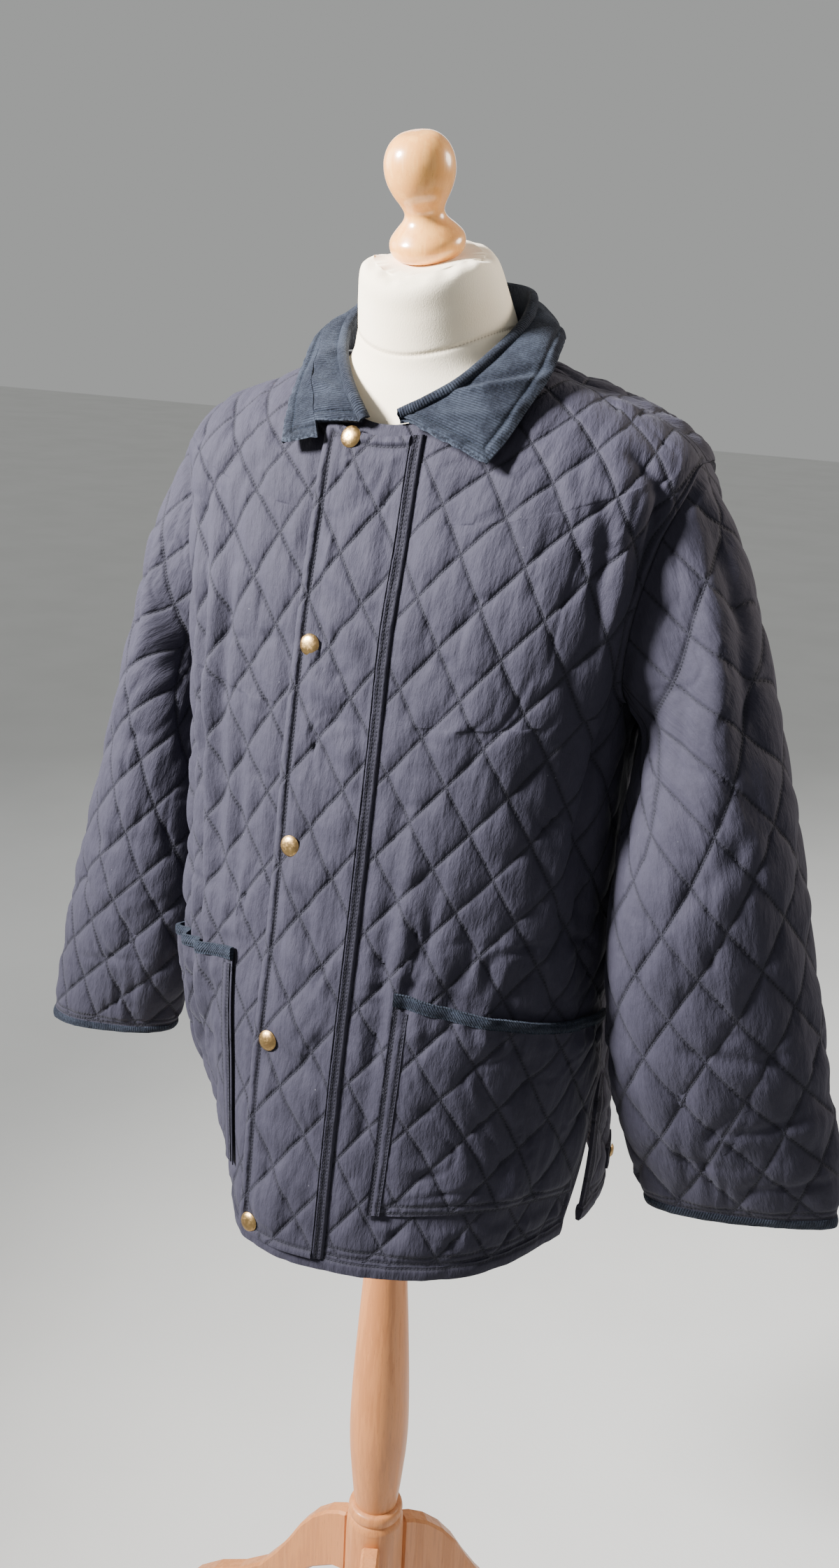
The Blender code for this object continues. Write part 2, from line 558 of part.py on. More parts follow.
def collar_line(stations, place):
    """Middle surface of the collar at stations (-1 right end .. 1 left end) and one profile place."""
    tables = {side: np.array(COLLAR_STATIONS[side]) for side in COLLAR_STATIONS}
    count = len(tables["left"]) - 1
    along = (1 - np.abs(stations)) * count

    def table_row(at):
        left, right = hermite(tables["left"], at), hermite(tables["right"], at)
        return np.where(stations[:, None] < 0, right, left)

    row = table_row(along)
    azimuth = row[:, 0]
    foot = body(azimuth, np.full_like(azimuth, ROW_NECK))
    roll, edge = row[:, 1:4], row[:, 4:7]
    step = 0.02
    tangent = unit(table_row(along + step)[:, 1:4] - table_row(along - step)[:, 1:4])
    reach = edge - roll
    outward = unit(reach - tangent * (reach * tangent).sum(-1, keepdims=True))
    upward = unit(np.cross(tangent, outward))
    upward *= np.where(upward[:, 2:3] < 0, -1.0, 1.0)
    if place <= ROLL_START:
        foot = foot + unit(roll - foot) * FOOT_GAP + FOOT_LIFT
        inside = roll - outward * ROLL_RADIUS - upward * ROLL_RADIUS
        points = foot + (inside - foot) * place / ROLL_START
    elif place <= ROLL_END:
        turn = pi * (place - ROLL_START) / (ROLL_END - ROLL_START)
        points = roll - upward * ROLL_RADIUS * (1 - sin(turn)) - outward * ROLL_RADIUS * cos(turn)
    else:
        share = (place - ROLL_END) / (1 - ROLL_END)
        start = roll + outward * ROLL_RADIUS - upward * ROLL_RADIUS
        bulge = unit(np.cross(tangent, reach))
        bulge *= np.where((bulge * upward).sum(-1, keepdims=True) < 0, -1.0, 1.0)
        points = start + (edge - start) * share + bulge * COLLAR_BULGE * 4 * share * (1 - share)
    points[:, 0] *= np.where(stations < 0, -1.0, 1.0)
    return points


def collar_surface(count, profile):
    """Grid of the collar's middle surface, one row for each place of the profile."""
    shares = np.linspace(0.0, 1.0, count)
    rows = []
    for place in profile:
        to_corner = np.clip((place - ROLL_END) / (CORNER_PLACE - ROLL_END), 0.0, 1.0)
        cut = CUT_AT_ROLL + (CUT_AT_CORNER - CUT_AT_ROLL) * to_corner
        first = -1.0 + (cut if place <= CORNER_PLACE else 0.0)
        rows.append(collar_line(first + (1.0 - first) * shares, place))
    return np.array(rows)


def make_collar(corduroy):
    profile = np.array([0.0, 0.15, ROLL_START, 0.345, 0.375, 0.405, ROLL_END, 0.58, 0.68,
                        CORNER_PLACE, CORNER_PLACE + 0.025, 0.86, 1.0])
    middle = collar_surface(29, profile)
    along = np.gradient(middle, axis=1)
    across = np.gradient(middle, axis=0)
    normal = unit(np.cross(across, along))
    wall("collar", middle + normal * COLLAR_WALL / 2, middle - normal * COLLAR_WALL / 2, corduroy)


def flap_rows():
    rows = panel_rows()
    top = row_at_height(BODY_RINGS[-1][1] - FLAP_TOP_DROP)
    bottom = row_at_height(BODY_RINGS[0][1] + FLAP_SHORT)
    return np.concatenate([[bottom], rows[1:-1], [top]])


def strip_on_front(x_from, x_to, rows, columns, low, high):
    """Outer and inner grid of a strip between two distances from the middle, moved out."""
    starts = np.array([azimuth_at_x(x_from, row) for row in rows])
    ends = np.array([azimuth_at_x(x_to, row) for row in rows])
    azimuths = starts[:, None] + (ends - starts)[:, None] * np.linspace(0, 1, columns)[None, :]
    return body_grid(azimuths, rows, high), body_grid(azimuths, rows, low)


def make_flap(cloth, metal):
    low = LIE_GAP + BINDING_EXTRA
    rows = flap_rows()
    outer, inner = strip_on_front(FLAP_RIGHT, FLAP_LEFT, rows, 8, low, low + FLAP_WALL)
    wall("storm_flap", outer, inner, cloth)
    outer, inner = strip_on_front(FLAP_LEFT + SEAM_GAP, FLAP_LEFT + SEAM_GAP + WELT_WIDTH,
                                  rows, 3, low, low + FLAP_WALL)
    wall("flap_welt", outer, inner, cloth)
    cap = ((0.0, 0.0034), (0.0035, 0.0031), (0.0062, 0.0022), (0.0078, 0.0010),
           (SNAP_RADIUS, 0.0004), (SNAP_RADIUS - 0.0004, 0.0))
    for number, (x, height) in enumerate(SNAPS):
        row = row_at_height(height, azimuth_at_x(x, row_at_height(height)))
        azimuth = azimuth_at_x(x, row)
        normal = body_normal(azimuth, row)
        place = body(azimuth, row) + normal * (low + FLAP_WALL + SEAM_GAP)
        turn = Vector(normal).to_track_quat("Z", "Y").to_euler()
        lathe("snap_cap_%d" % (number + 1), cap, metal, 20, place, turn)


# The patch pockets: distance of the front edge from the middle, at the bottom and at the mouth,
# and heights at the front edge and at the side.
POCKET_FRONT_X = {"left": (0.0625, 0.0655), "right": (0.064, 0.079)}
POCKET_INSET = 2.0       # degrees between its side edge and the edge of the front
POCKET_MOUTH = (0.9875, 0.949)
POCKET_BOTTOM = (0.815, 0.806)
POCKET_RISE = 0.010      # the bottom edge is higher between its corners
POCKET_GAP = {"left": 0.0009, "right": 0.0020}
POCKET_BINDING = 0.0095
POCKET_STRIP = (0.010, 0.030, 0.052)   # shares of the width that the doubled edge takes
POCKET_STRIP_WALL = 0.0016
POCKET_GAPE = 0.0024
HEIGHT_ROWS = np.linspace(0.0, 6.0, 241)


def pocket_grid(side, across, up):
    """Azimuths and rows of a pocket at shares across (front to side) and up (bottom to mouth)."""
    mirror = 1.0 if side == "left" else -1.0
    azimuths = np.empty((len(up), len(across)))
    rows = np.empty_like(azimuths)
    for j, share in enumerate(across):
        for i, lift in enumerate(up):
            front_z = POCKET_BOTTOM[0] + (POCKET_MOUTH[0] - POCKET_BOTTOM[0]) * lift
            side_z = POCKET_BOTTOM[1] + (POCKET_MOUTH[1] - POCKET_BOTTOM[1]) * lift
            height = front_z + (side_z - front_z) * share
            height += POCKET_RISE * np.sin(pi * share) * np.clip(1 - lift, 0.0, 1.0)
            low_x, high_x = POCKET_FRONT_X[side]
            start = azimuth_at_x(mirror * (low_x + (high_x - low_x) * lift), row_at_height(front_z))
            end = side_azimuth(np.array([row_at_height(side_z, 80.0)]), True)[0] - POCKET_INSET
            azimuths[i, j] = start + (mirror * end - start) * share
            rows[i, j] = np.interp(height, body(azimuths[i, j], HEIGHT_ROWS)[:, 2], HEIGHT_ROWS)
    return azimuths, rows


def pocket_layer(side, across, up, offset):
    """Points over the pocket's ground, moved out; the mouth stands a little off the front."""
    azimuths, rows = pocket_grid(side, across, up)
    gape = POCKET_GAPE * np.clip(up, 0, 1)[:, None] ** 3 * np.sin(pi * across)[None, :]
    return body(azimuths, rows) + body_normal(azimuths, rows) * (offset + gape)[..., None]


def make_pockets(cloth, corduroy):
    across = np.linspace(0.0, 1.0, 14)
    tall = POCKET_MOUTH[0] - POCKET_BOTTOM[0]
    patch = np.linspace(0.0, 1.0, 8)
    bound = np.array([1.0, 1.0 + POCKET_BINDING / tall])
    for side in ("left", "right"):
        ground = POCKET_GAP[side]
        high = ground + POCKET_WALL
        wall("pocket_" + side, pull_edges(pocket_layer(side, across, patch, high), (-1,)),
             pull_edges(pocket_layer(side, across, patch, ground), (-1,)), cloth)
        wall("pocket_binding_" + side,
             pull_edges(pocket_layer(side, across, bound, high + BINDING_EXTRA), (0,)),
             pull_edges(pocket_layer(side, across, bound, ground), (0,)), corduroy)
        low = LIE_GAP + high
        strip = np.array(POCKET_STRIP)
        tall_enough = POCKET_STRIP[0] + (1 - 3 * POCKET_STRIP[0]) * patch
        wall("pocket_edge_" + side, pocket_layer(side, strip, tall_enough, low + POCKET_STRIP_WALL),
             pocket_layer(side, strip, tall_enough, low), cloth)


TAB_HEIGHT = 0.793
TAB_LENGTH = 0.030
TAB_WIDTH = 0.020
TAB_WALL = 0.003
TAB_AZIMUTH = 96.5       # where the tab begins, clear of the front's edge
SIDE_RADIUS = 0.17       # of the body at the tab


def make_vent_tabs(cloth, metal):
    """A short strap with a snap on the back's edge of each vent, seen past the front's edge."""
    cap = ((0.0, 0.0026), (0.0030, 0.0023), (0.0050, 0.0013), (0.0058, 0.0004), (0.0054, 0.0))
    for side, mirror in (("left", 1.0), ("right", -1.0)):
        middle = row_at_height(TAB_HEIGHT + 0.6 * TAB_WIDTH, 90.0)
        rows = np.linspace(row_at_height(TAB_HEIGHT, 90.0),
                           row_at_height(TAB_HEIGHT + TAB_WIDTH, 90.0), 3)
        span = np.degrees(TAB_LENGTH / SIDE_RADIUS)
        azimuths = mirror * np.linspace(TAB_AZIMUTH, TAB_AZIMUTH + span, 5)
        grid = np.broadcast_to(azimuths[None, :], (len(rows), len(azimuths)))
        low = LIE_GAP * 0.6
        wall("vent_tab_" + side, body_grid(grid, rows, low + TAB_WALL), body_grid(grid, rows, low), cloth)
        azimuth = mirror * (TAB_AZIMUTH + span * 0.35)
        normal = body_normal(azimuth, middle)
        place = body(azimuth, middle) + normal * (low + TAB_WALL + SEAM_GAP)
        turn = Vector(normal).to_track_quat("Z", "Y").to_euler()
        lathe("vent_snap_" + side, cap, metal, 14, place, turn)


# ---------------------------------------------------------------- form and stand
def make_form(fabric):
    rows = np.concatenate([[0.0, 1.0, 2.0], np.arange(2.75, 8.01, 0.75), np.arange(8.5, 18.01, 0.5)])
    columns = 40
    azimuths = np.linspace(0.0, 360.0, columns, endpoint=False)
    azimuths = (azimuths + 180.0) % 360.0 - 180.0
    grid, level = np.meshgrid(azimuths, rows)
    points = ring_surface(both_sides(FORM_RINGS), grid, level)
    vertices = [tuple(p) for p in points.reshape(-1, 3)]
    faces = []
    for row in range(len(rows) - 1):
        for column in range(columns):
            after = (column + 1) % columns
            faces.append([row * columns + column, row * columns + after,
                          (row + 1) * columns + after, (row + 1) * columns + column])
    faces.append(list(range(columns)))
    last = (len(rows) - 1) * columns
    faces.append(list(range(last, last + columns)))
    return add_object("form_body", vertices, faces, fabric)


def make_leg(number, azimuth, wood):
    outline = LEG_TOP + LEG_UNDER
    half = LEG_THICKNESS / 2
    count = len(outline)
    vertices = [(side * half, -reach, height) for side in (-1, 1) for reach, height in outline]
    faces = [list(range(count)), list(range(count, 2 * count))]
    faces += [[k, (k + 1) % count, count + (k + 1) % count, count + k] for k in range(count)]
    leg = add_object("leg_%d" % number, vertices, faces, wood, smooth=False)
    bevel = leg.modifiers.new("edges", "BEVEL")
    bevel.width = LEG_BEVEL
    bevel.segments = 1
    bevel.limit_method = "ANGLE"
    bevel.angle_limit = radians(60)
    leg.rotation_euler = (0.0, 0.0, radians(azimuth))
    return leg


def make_stand(fabric, gloss_wood, wood):
    make_form(fabric)
    seat = Vector(FINIAL_SEAT)
    axis = Matrix.Rotation(CAP_TILT, 3, "X") @ Vector((0, 0, 1))
    lathe("finial", FINIAL_PROFILE, gloss_wood, 36, seat + axis * SEAM_GAP, (CAP_TILT, 0.0, 0.0))
    lathe("pole", POLE_PROFILE, wood, 40)
    lathe("hub", HUB_PROFILE, wood, 40)
    for number, azimuth in enumerate(LEG_AZIMUTHS, 1):
        make_leg(number, azimuth, wood)


def centre_on_floor():
    """Put the middle of the whole part's box over the origin, standing on the floor."""
    bpy.context.view_layer.update()
    graph = bpy.context.evaluated_depsgraph_get()
    corners = []
    for made in bpy.data.objects:
        if made.type == "MESH":
            shaped = made.evaluated_get(graph)
            corners += [shaped.matrix_world @ Vector(corner) for corner in shaped.bound_box]
    low = Vector([min(c[k] for c in corners) for k in range(3)])
    high = Vector([max(c[k] for c in corners) for k in range(3)])
    ROOT.location = (-(low.x + high.x) / 2, -(low.y + high.y) / 2, -low.z)


for old in list(bpy.data.objects):
    bpy.data.objects.remove(old, do_unlink=True)

ROOT = bpy.data.objects.new("jacket_on_form", None)
bpy.context.collection.objects.link(ROOT)

NAVY = material("navy_quilted_cloth", (0.075, 0.072, 0.105), 0.78)
CORDUROY = material("navy_corduroy", (0.055, 0.085, 0.135), 0.9)
BRASS = material("aged_brass", (0.62, 0.44, 0.20), 0.35, 1.0)
FORM_CLOTH = material("cream_form_cloth", (0.86, 0.80, 0.68), 0.85)
GLOSS_BEECH = material("varnished_beech", (0.72, 0.45, 0.24), 0.3)
BEECH = material("beech", (0.60, 0.36, 0.20), 0.5)

make_fronts(NAVY, NAVY)
make_back(NAVY, NAVY)
for which in ("left", "right"):
    make_sleeve(which, NAVY, CORDUROY)
make_collar(CORDUROY)
make_flap(NAVY, BRASS)
make_pockets(NAVY, CORDUROY)
make_vent_tabs(NAVY, BRASS)
make_stand(FORM_CLOTH, GLOSS_BEECH, BEECH)
centre_on_floor()
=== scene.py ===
"""Looks of the quilted liner jacket on its dress form.

Every sewn piece is rebuilt as a fine closed wall on the same surfaces as the solid that it
replaces: rings around the body, rings around each sleeve, and a collar between its roll line and
its edge. On those surfaces lie the folds of the cloth, the wadding between the stitch lines and
the ridges of the seams. UV map "cloth" holds metres across and up the cut piece, and UV map
"edge" holds metres from the nearest stitched edge and along it. Places are in metres from the
middle of the pole, with y towards the back and z up; azimuths are in degrees from the centre front
towards the wearer's left, and rows and stations count along the tables of rings.
"""
from math import atan, cos, pi, radians, sin

import bpy
import numpy as np
from mathutils import Matrix, Quaternion, Vector


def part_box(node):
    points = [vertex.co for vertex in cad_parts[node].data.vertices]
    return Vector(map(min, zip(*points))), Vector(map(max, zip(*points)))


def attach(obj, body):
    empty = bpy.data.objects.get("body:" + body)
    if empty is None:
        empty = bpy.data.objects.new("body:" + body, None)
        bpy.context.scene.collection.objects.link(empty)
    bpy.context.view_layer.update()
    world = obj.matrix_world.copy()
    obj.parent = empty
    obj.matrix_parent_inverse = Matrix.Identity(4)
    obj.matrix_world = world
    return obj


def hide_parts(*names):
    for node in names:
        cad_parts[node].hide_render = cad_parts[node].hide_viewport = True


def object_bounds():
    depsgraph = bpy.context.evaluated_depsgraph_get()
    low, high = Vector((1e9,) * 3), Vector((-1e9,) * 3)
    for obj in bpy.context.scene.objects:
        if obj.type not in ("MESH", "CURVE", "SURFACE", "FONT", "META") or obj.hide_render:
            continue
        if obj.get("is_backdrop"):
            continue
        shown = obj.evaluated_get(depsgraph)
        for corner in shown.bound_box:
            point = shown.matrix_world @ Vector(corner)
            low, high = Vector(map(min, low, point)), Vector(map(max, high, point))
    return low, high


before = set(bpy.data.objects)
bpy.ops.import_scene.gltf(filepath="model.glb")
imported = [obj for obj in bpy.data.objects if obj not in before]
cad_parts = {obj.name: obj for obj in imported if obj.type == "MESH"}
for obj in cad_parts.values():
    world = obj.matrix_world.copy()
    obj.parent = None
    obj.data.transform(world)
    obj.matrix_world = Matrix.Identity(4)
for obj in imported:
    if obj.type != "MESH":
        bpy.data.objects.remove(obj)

# ---------------------------------------------------------------- place and driving dimensions
POLE_LOW, POLE_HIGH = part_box("pole")
MIDDLE = np.array([(POLE_LOW[0] + POLE_HIGH[0]) / 2, (POLE_LOW[1] + POLE_HIGH[1]) / 2, 0.0])

SIDES = ("left", "right")    # the wearer's
SPACING = 0.0029         # between the vertices of the fine walls
WALL = 0.0032            # quilted cloth: shell, wadding and backing
FLAP_WALL = 0.0036
COLLAR_WALL = 0.0026
POCKET_WALL = 0.0028
SEAM_GAP = 0.0003
LIE_GAP = 0.0009         # between a piece and the panel that it lies on
BAND = 0.012             # hem binding
CUFF_BAND = 0.010
BINDING_EXTRA = 0.0006   # how much thicker a bound edge is, on each side
FLAP_LEFT = 0.023        # storm flap: sewn edge, to the wearer's left of the centre front
FLAP_RIGHT = -0.047      # its free edge
FLAP_TOP_DROP = 0.009
FLAP_SHORT = 0.010
SNAP_RADIUS = 0.0083
FLAP_LOW = LIE_GAP + BINDING_EXTRA       # clears the bound hem under it
WELT_WIDTH = 0.0085
VENT_TOP = 0.895
VENT_FRONT = 16.0        # degrees that the edges of a vent stand forward of the side at the hem
VENT_BACK = 8.0
ARMHOLE_FRONT = 19.0     # degrees of azimuth that the armhole takes from the front
ARMHOLE_BACK = 22.0
SNAPS = ((-0.024, 1.3930), (-0.033, 1.2440), (-0.032, 1.0920), (-0.033, 0.9370), (-0.036, 0.7820))

LOZENGE_WIDE = 0.048     # quilting: the diagonals of one lozenge
LOZENGE_TALL = 0.069
LINE_SPACING = 1 / np.hypot(1 / LOZENGE_WIDE, 1 / LOZENGE_TALL)
LINE_LENGTH = np.hypot(LOZENGE_WIDE, LOZENGE_TALL)
PUFF = 0.0027            # height of the wadding in the middle of a lozenge
STITCH = 0.0031          # length of one stitch
ALONG_START = 5.0        # added to the length along an edge, which keeps it above zero
WALE = 0.0021            # pitch of the corduroy

# Rings of the jacket's outer surface, hem to neckline: the points at azimuth 0, 90, -90 and 180
# degrees, as front_y, front_z, left_x, left_z, right_x, right_z, side_y, back_y, back_z, and the
# exponent of the superellipse.
BODY_RINGS = (
    (-0.183, 0.762, 0.190, 0.768, 0.170, 0.772, 0.002, 0.164, 0.776, 2.05),
    (-0.174, 0.820, 0.190, 0.828, 0.176, 0.830, 0.002, 0.160, 0.837, 2.10),
    (-0.163, 0.884, 0.188, 0.895, 0.181, 0.895, 0.003, 0.156, 0.908, 2.15),
    (-0.153, 0.946, 0.186, 0.957, 0.184, 0.957, 0.004, 0.152, 0.976, 2.25),
    (-0.142, 1.010, 0.184, 1.022, 0.184, 1.022, 0.005, 0.149, 1.046, 2.30),
    (-0.131, 1.075, 0.182, 1.087, 0.182, 1.087, 0.006, 0.147, 1.114, 2.40),
    (-0.121, 1.138, 0.181, 1.150, 0.181, 1.150, 0.008, 0.147, 1.180, 2.50),
    (-0.111, 1.196, 0.184, 1.212, 0.182, 1.212, 0.010, 0.145, 1.244, 2.60),
    (-0.101, 1.248, 0.197, 1.276, 0.190, 1.274, 0.013, 0.141, 1.304, 2.60),
    (-0.090, 1.296, 0.210, 1.338, 0.199, 1.334, 0.017, 0.133, 1.360, 2.55),
    (-0.079, 1.338, 0.217, 1.390, 0.205, 1.384, 0.022, 0.121, 1.406, 2.45),
    (-0.070, 1.373, 0.166, 1.424, 0.160, 1.417, 0.026, 0.106, 1.438, 2.30),
    (-0.060, 1.405, 0.076, 1.450, 0.076, 1.450, 0.018, 0.085, 1.466, 2.05),
)
SINK_DEPTH = 0.062       # beside the flap the right front falls in towards the hem
SINK_LIFT = 0.022
SINK_FROM = 15.0
SINK_ROWS = 3.6
ROW_PIT = 7              # rows of the table where the armhole begins and ends
ROW_SHOULDER = 10
ROW_NECK = 12

# Rings of each sleeve after the armhole: outer line, underarm line and half depth.
SLEEVE_RINGS = {
    "left": (
        (0.246, 0.027, 1.334, 0.1925, 0.008, 1.188, 0.058),
        (0.273, 0.026, 1.262, 0.1945, -0.008, 1.152, 0.061),
        (0.300, 0.024, 1.187, 0.1945, -0.023, 1.106, 0.062),
        (0.324, 0.022, 1.100, 0.1950, -0.032, 1.046, 0.060),
        (0.346, 0.022, 1.016, 0.1990, -0.034, 0.980, 0.053),
        (0.363, 0.024, 0.938, 0.2080, -0.031, 0.912, 0.045),
        (0.379, 0.027, 0.868, 0.2240, -0.022, 0.853, 0.032),
        (0.388, 0.030, 0.800, 0.2410, -0.010, 0.796, 0.018),
    ),
    "right": (
        (0.232, 0.026, 1.330, 0.1900, 0.014, 1.186, 0.055),
        (0.252, 0.026, 1.256, 0.1935, 0.006, 1.152, 0.055),
        (0.276, 0.024, 1.180, 0.1945, 0.000, 1.108, 0.054),
        (0.303, 0.021, 1.096, 0.1960, -0.006, 1.050, 0.052),
        (0.330, 0.019, 1.014, 0.2000, -0.008, 0.986, 0.048),
        (0.352, 0.018, 0.938, 0.2080, -0.006, 0.922, 0.043),
        (0.371, 0.015, 0.868, 0.2240, 0.002, 0.868, 0.036),
        (0.388, 0.0115, 0.791, 0.2460, 0.0125, 0.811, 0.027),
    ),
}
LAST_STATION = float(len(SLEEVE_RINGS["left"]))

# The collar from its end at the centre front to the centre back: azimuth of the foot, roll line
# and outer edge.
COLLAR_STATIONS = {
    "left": (
        (8.0, 0.0140, -0.0700, 1.4150, 0.0880, -0.0860, 1.3860),
        (26.0, 0.0310, -0.0640, 1.4240, 0.0955, -0.0680, 1.4020),
        (48.0, 0.0510, -0.0490, 1.4385, 0.1020, -0.0460, 1.4220),
        (70.0, 0.0635, -0.0220, 1.4570, 0.1080, -0.0180, 1.4440),
        (92.0, 0.0725, 0.0120, 1.4780, 0.1030, 0.0140, 1.4620),
        (118.0, 0.0680, 0.0460, 1.4950, 0.0890, 0.0540, 1.4700),
        (148.0, 0.0470, 0.0780, 1.5020, 0.0620, 0.0980, 1.4620),
        (180.0, 0.0000, 0.0935, 1.5050, 0.0000, 0.1150, 1.4520),
    ),
    "right": (
        (8.0, 0.0100, -0.0700, 1.4025, 0.0785, -0.0860, 1.3865),
        (26.0, 0.0280, -0.0600, 1.4220, 0.0870, -0.0650, 1.4040),
        (48.0, 0.0510, -0.0340, 1.4395, 0.0950, -0.0380, 1.4210),
        (70.0, 0.0715, -0.0020, 1.4560, 0.1010, -0.0060, 1.4430),
        (92.0, 0.0810, 0.0240, 1.4730, 0.1060, 0.0200, 1.4580),
        (118.0, 0.0780, 0.0540, 1.4920, 0.1030, 0.0560, 1.4660),
        (148.0, 0.0520, 0.0800, 1.5010, 0.0720, 0.0970, 1.4600),
        (180.0, 0.0000, 0.0935, 1.5050, 0.0000, 0.1150, 1.4520),
    ),
}
ROLL_RADIUS = 0.0034
ROLL_START = 0.30        # share of the profile where the stand ends, and where the fall begins
ROLL_END = 0.45
COLLAR_BULGE = 0.0045
END_SETTLE = 0.0105      # how far the front ends of the fall have sunk towards the chest
CUT_AT_ROLL = 0.044      # its right end is cut away where the flap's corner lies in front of it
CUT_AT_CORNER = 0.070
CORNER_PLACE = 0.745
FOOT_GAP = 0.0009
FOOT_LIFT = (0.0, 0.0, 0.0006)

# Patch pockets: distance of the front edge from the middle, and heights at that edge and the side.
POCKET_FRONT_X = {"left": (0.0625, 0.0655), "right": (0.064, 0.079)}
POCKET_INSET = 2.0
POCKET_MOUTH = (0.9875, 0.949)
POCKET_BOTTOM = (0.815, 0.806)
POCKET_RISE = 0.010
POCKET_GAP = {"left": 0.0009, "right": 0.0020}
POCKET_BINDING = 0.0095
POCKET_GAPE = 0.0024
POCKET_STRIP = (0.010, 0.052)

TAB_HEIGHT = 0.793
TAB_LENGTH = 0.030
TAB_WIDTH = 0.020
TAB_WALL = 0.003
TAB_AZIMUTH = 96.5
SIDE_RADIUS = 0.17       # of the body at the tab

# Rings of the dress form: front_y, front_z, side_x, side_z, side_y, back_y, back_z, exponent.
FORM_RINGS = (
    (-0.098, 0.830, 0.128, 0.830, 0.004, 0.108, 0.830, 2.3),
    (-0.106, 0.836, 0.138, 0.836, 0.004, 0.116, 0.836, 2.3),
    (-0.112, 0.860, 0.146, 0.860, 0.004, 0.122, 0.860, 2.3),
    (-0.113, 0.930, 0.149, 0.930, 0.005, 0.122, 0.930, 2.3),
    (-0.104, 1.010, 0.141, 1.010, 0.006, 0.112, 1.010, 2.3),
    (-0.098, 1.090, 0.138, 1.090, 0.007, 0.108, 1.090, 2.3),
    (-0.098, 1.160, 0.146, 1.165, 0.009, 0.116, 1.170, 2.4),
    (-0.094, 1.220, 0.158, 1.235, 0.011, 0.126, 1.245, 2.5),
    (-0.084, 1.270, 0.173, 1.300, 0.014, 0.128, 1.315, 2.5),
    (-0.074, 1.312, 0.187, 1.350, 0.018, 0.119, 1.368, 2.45),
    (-0.066, 1.344, 0.186, 1.3880, 0.023, 0.106, 1.407, 2.35),
    (-0.058, 1.375, 0.148, 1.4135, 0.026, 0.0905, 1.4305, 2.2),
    (-0.050, 1.404, 0.098, 1.4337, 0.023, 0.0768, 1.4513, 2.1),
    (-0.042, 1.430, 0.0696, 1.4490, 0.022, 0.0755, 1.4714, 2.0),
    (-0.040, 1.4490, 0.0620, 1.4700, 0.0225, 0.0800, 1.4900, 2.0),
    (-0.0460, 1.478, 0.0565, 1.4960, 0.0105, 0.0675, 1.5140, 2.0),
    (-0.0500, 1.494, 0.0525, 1.5130, 0.0035, 0.0570, 1.5310, 2.0),
    (-0.0475, 1.5025, 0.0485, 1.5195, 0.0010, 0.0500, 1.5365, 2.0),
    (-0.0400, 1.5080, 0.0405, 1.5220, -0.0005, 0.0390, 1.5360, 2.0),
)
NECK_SEAM_ROW = 14.15
CAP_TILT = radians(19.5)
FINIAL_SEAT = Vector((0.0, -0.0010, 1.5222))

# Turned profiles: radius and height, top to bottom.
FINIAL_PROFILE = (
    (0.0, 0.0865), (0.0125, 0.0850), (0.0202, 0.0795), (0.0246, 0.0715), (0.0259, 0.0630),
    (0.0249, 0.0545), (0.0216, 0.0460), (0.0174, 0.0388), (0.0150, 0.0336), (0.0149, 0.0298),
    (0.0172, 0.0255), (0.0232, 0.0195), (0.0272, 0.0145), (0.0282, 0.0098), (0.0272, 0.0047),
    (0.0238, 0.0010), (0.0200, 0.0),
)
POLE_PROFILE = (
    (0.0172, 0.8297), (0.0174, 0.760), (0.0184, 0.690), (0.0206, 0.627), (0.0236, 0.575),
    (0.0269, 0.512), (0.0284, 0.462), (0.0278, 0.432), (0.0261, 0.409), (0.0240, 0.386),
    (0.0212, 0.3600),
)
HUB_PROFILE = (
    (0.0215, 0.3597), (0.0252, 0.3578), (0.0268, 0.3535), (0.0266, 0.3490), (0.0250, 0.3462),
    (0.0262, 0.3440), (0.0278, 0.3395), (0.0276, 0.3350), (0.0262, 0.3325), (0.0283, 0.3300),
    (0.0283, 0.2320), (0.0262, 0.222),
)
SNAP_PROFILE = ((0.0, 0.0034), (0.0035, 0.0031), (0.0062, 0.0022), (0.0078, 0.0010),
                (SNAP_RADIUS, 0.0004), (SNAP_RADIUS - 0.0004, 0.0))
VENT_SNAP_PROFILE = ((0.0, 0.0026), (0.0030, 0.0023), (0.0050, 0.0013), (0.0058, 0.0004), (0.0054, 0.0))


# ---------------------------------------------------------------- surfaces
def count(length):
    """Number of vertices of a fine wall along a length."""
    return int(length / SPACING)


def between_rings(part, before, after, slope_before, slope_after):
    """A smooth curve from one ring to the next that leaves and arrives with the given slopes."""
    p2, p3 = part ** 2, part ** 3
    return ((2 * p3 - 3 * p2 + 1) * before + (p3 - 2 * p2 + part) * slope_before
            + (3 * p2 - 2 * p3) * after + (p3 - p2) * slope_after)


def hermite(table, at):
    """Rows of a table joined by smooth curves; at holds row numbers, whole or between."""
    table = np.asarray(table, float)
    at = np.clip(np.asarray(at, float), 0.0, len(table) - 1.0)
    low = np.minimum(at.astype(int), len(table) - 2)
    slopes = np.gradient(table, axis=0)
    return between_rings((at - low)[..., None], table[low], table[low + 1], slopes[low], slopes[low + 1])


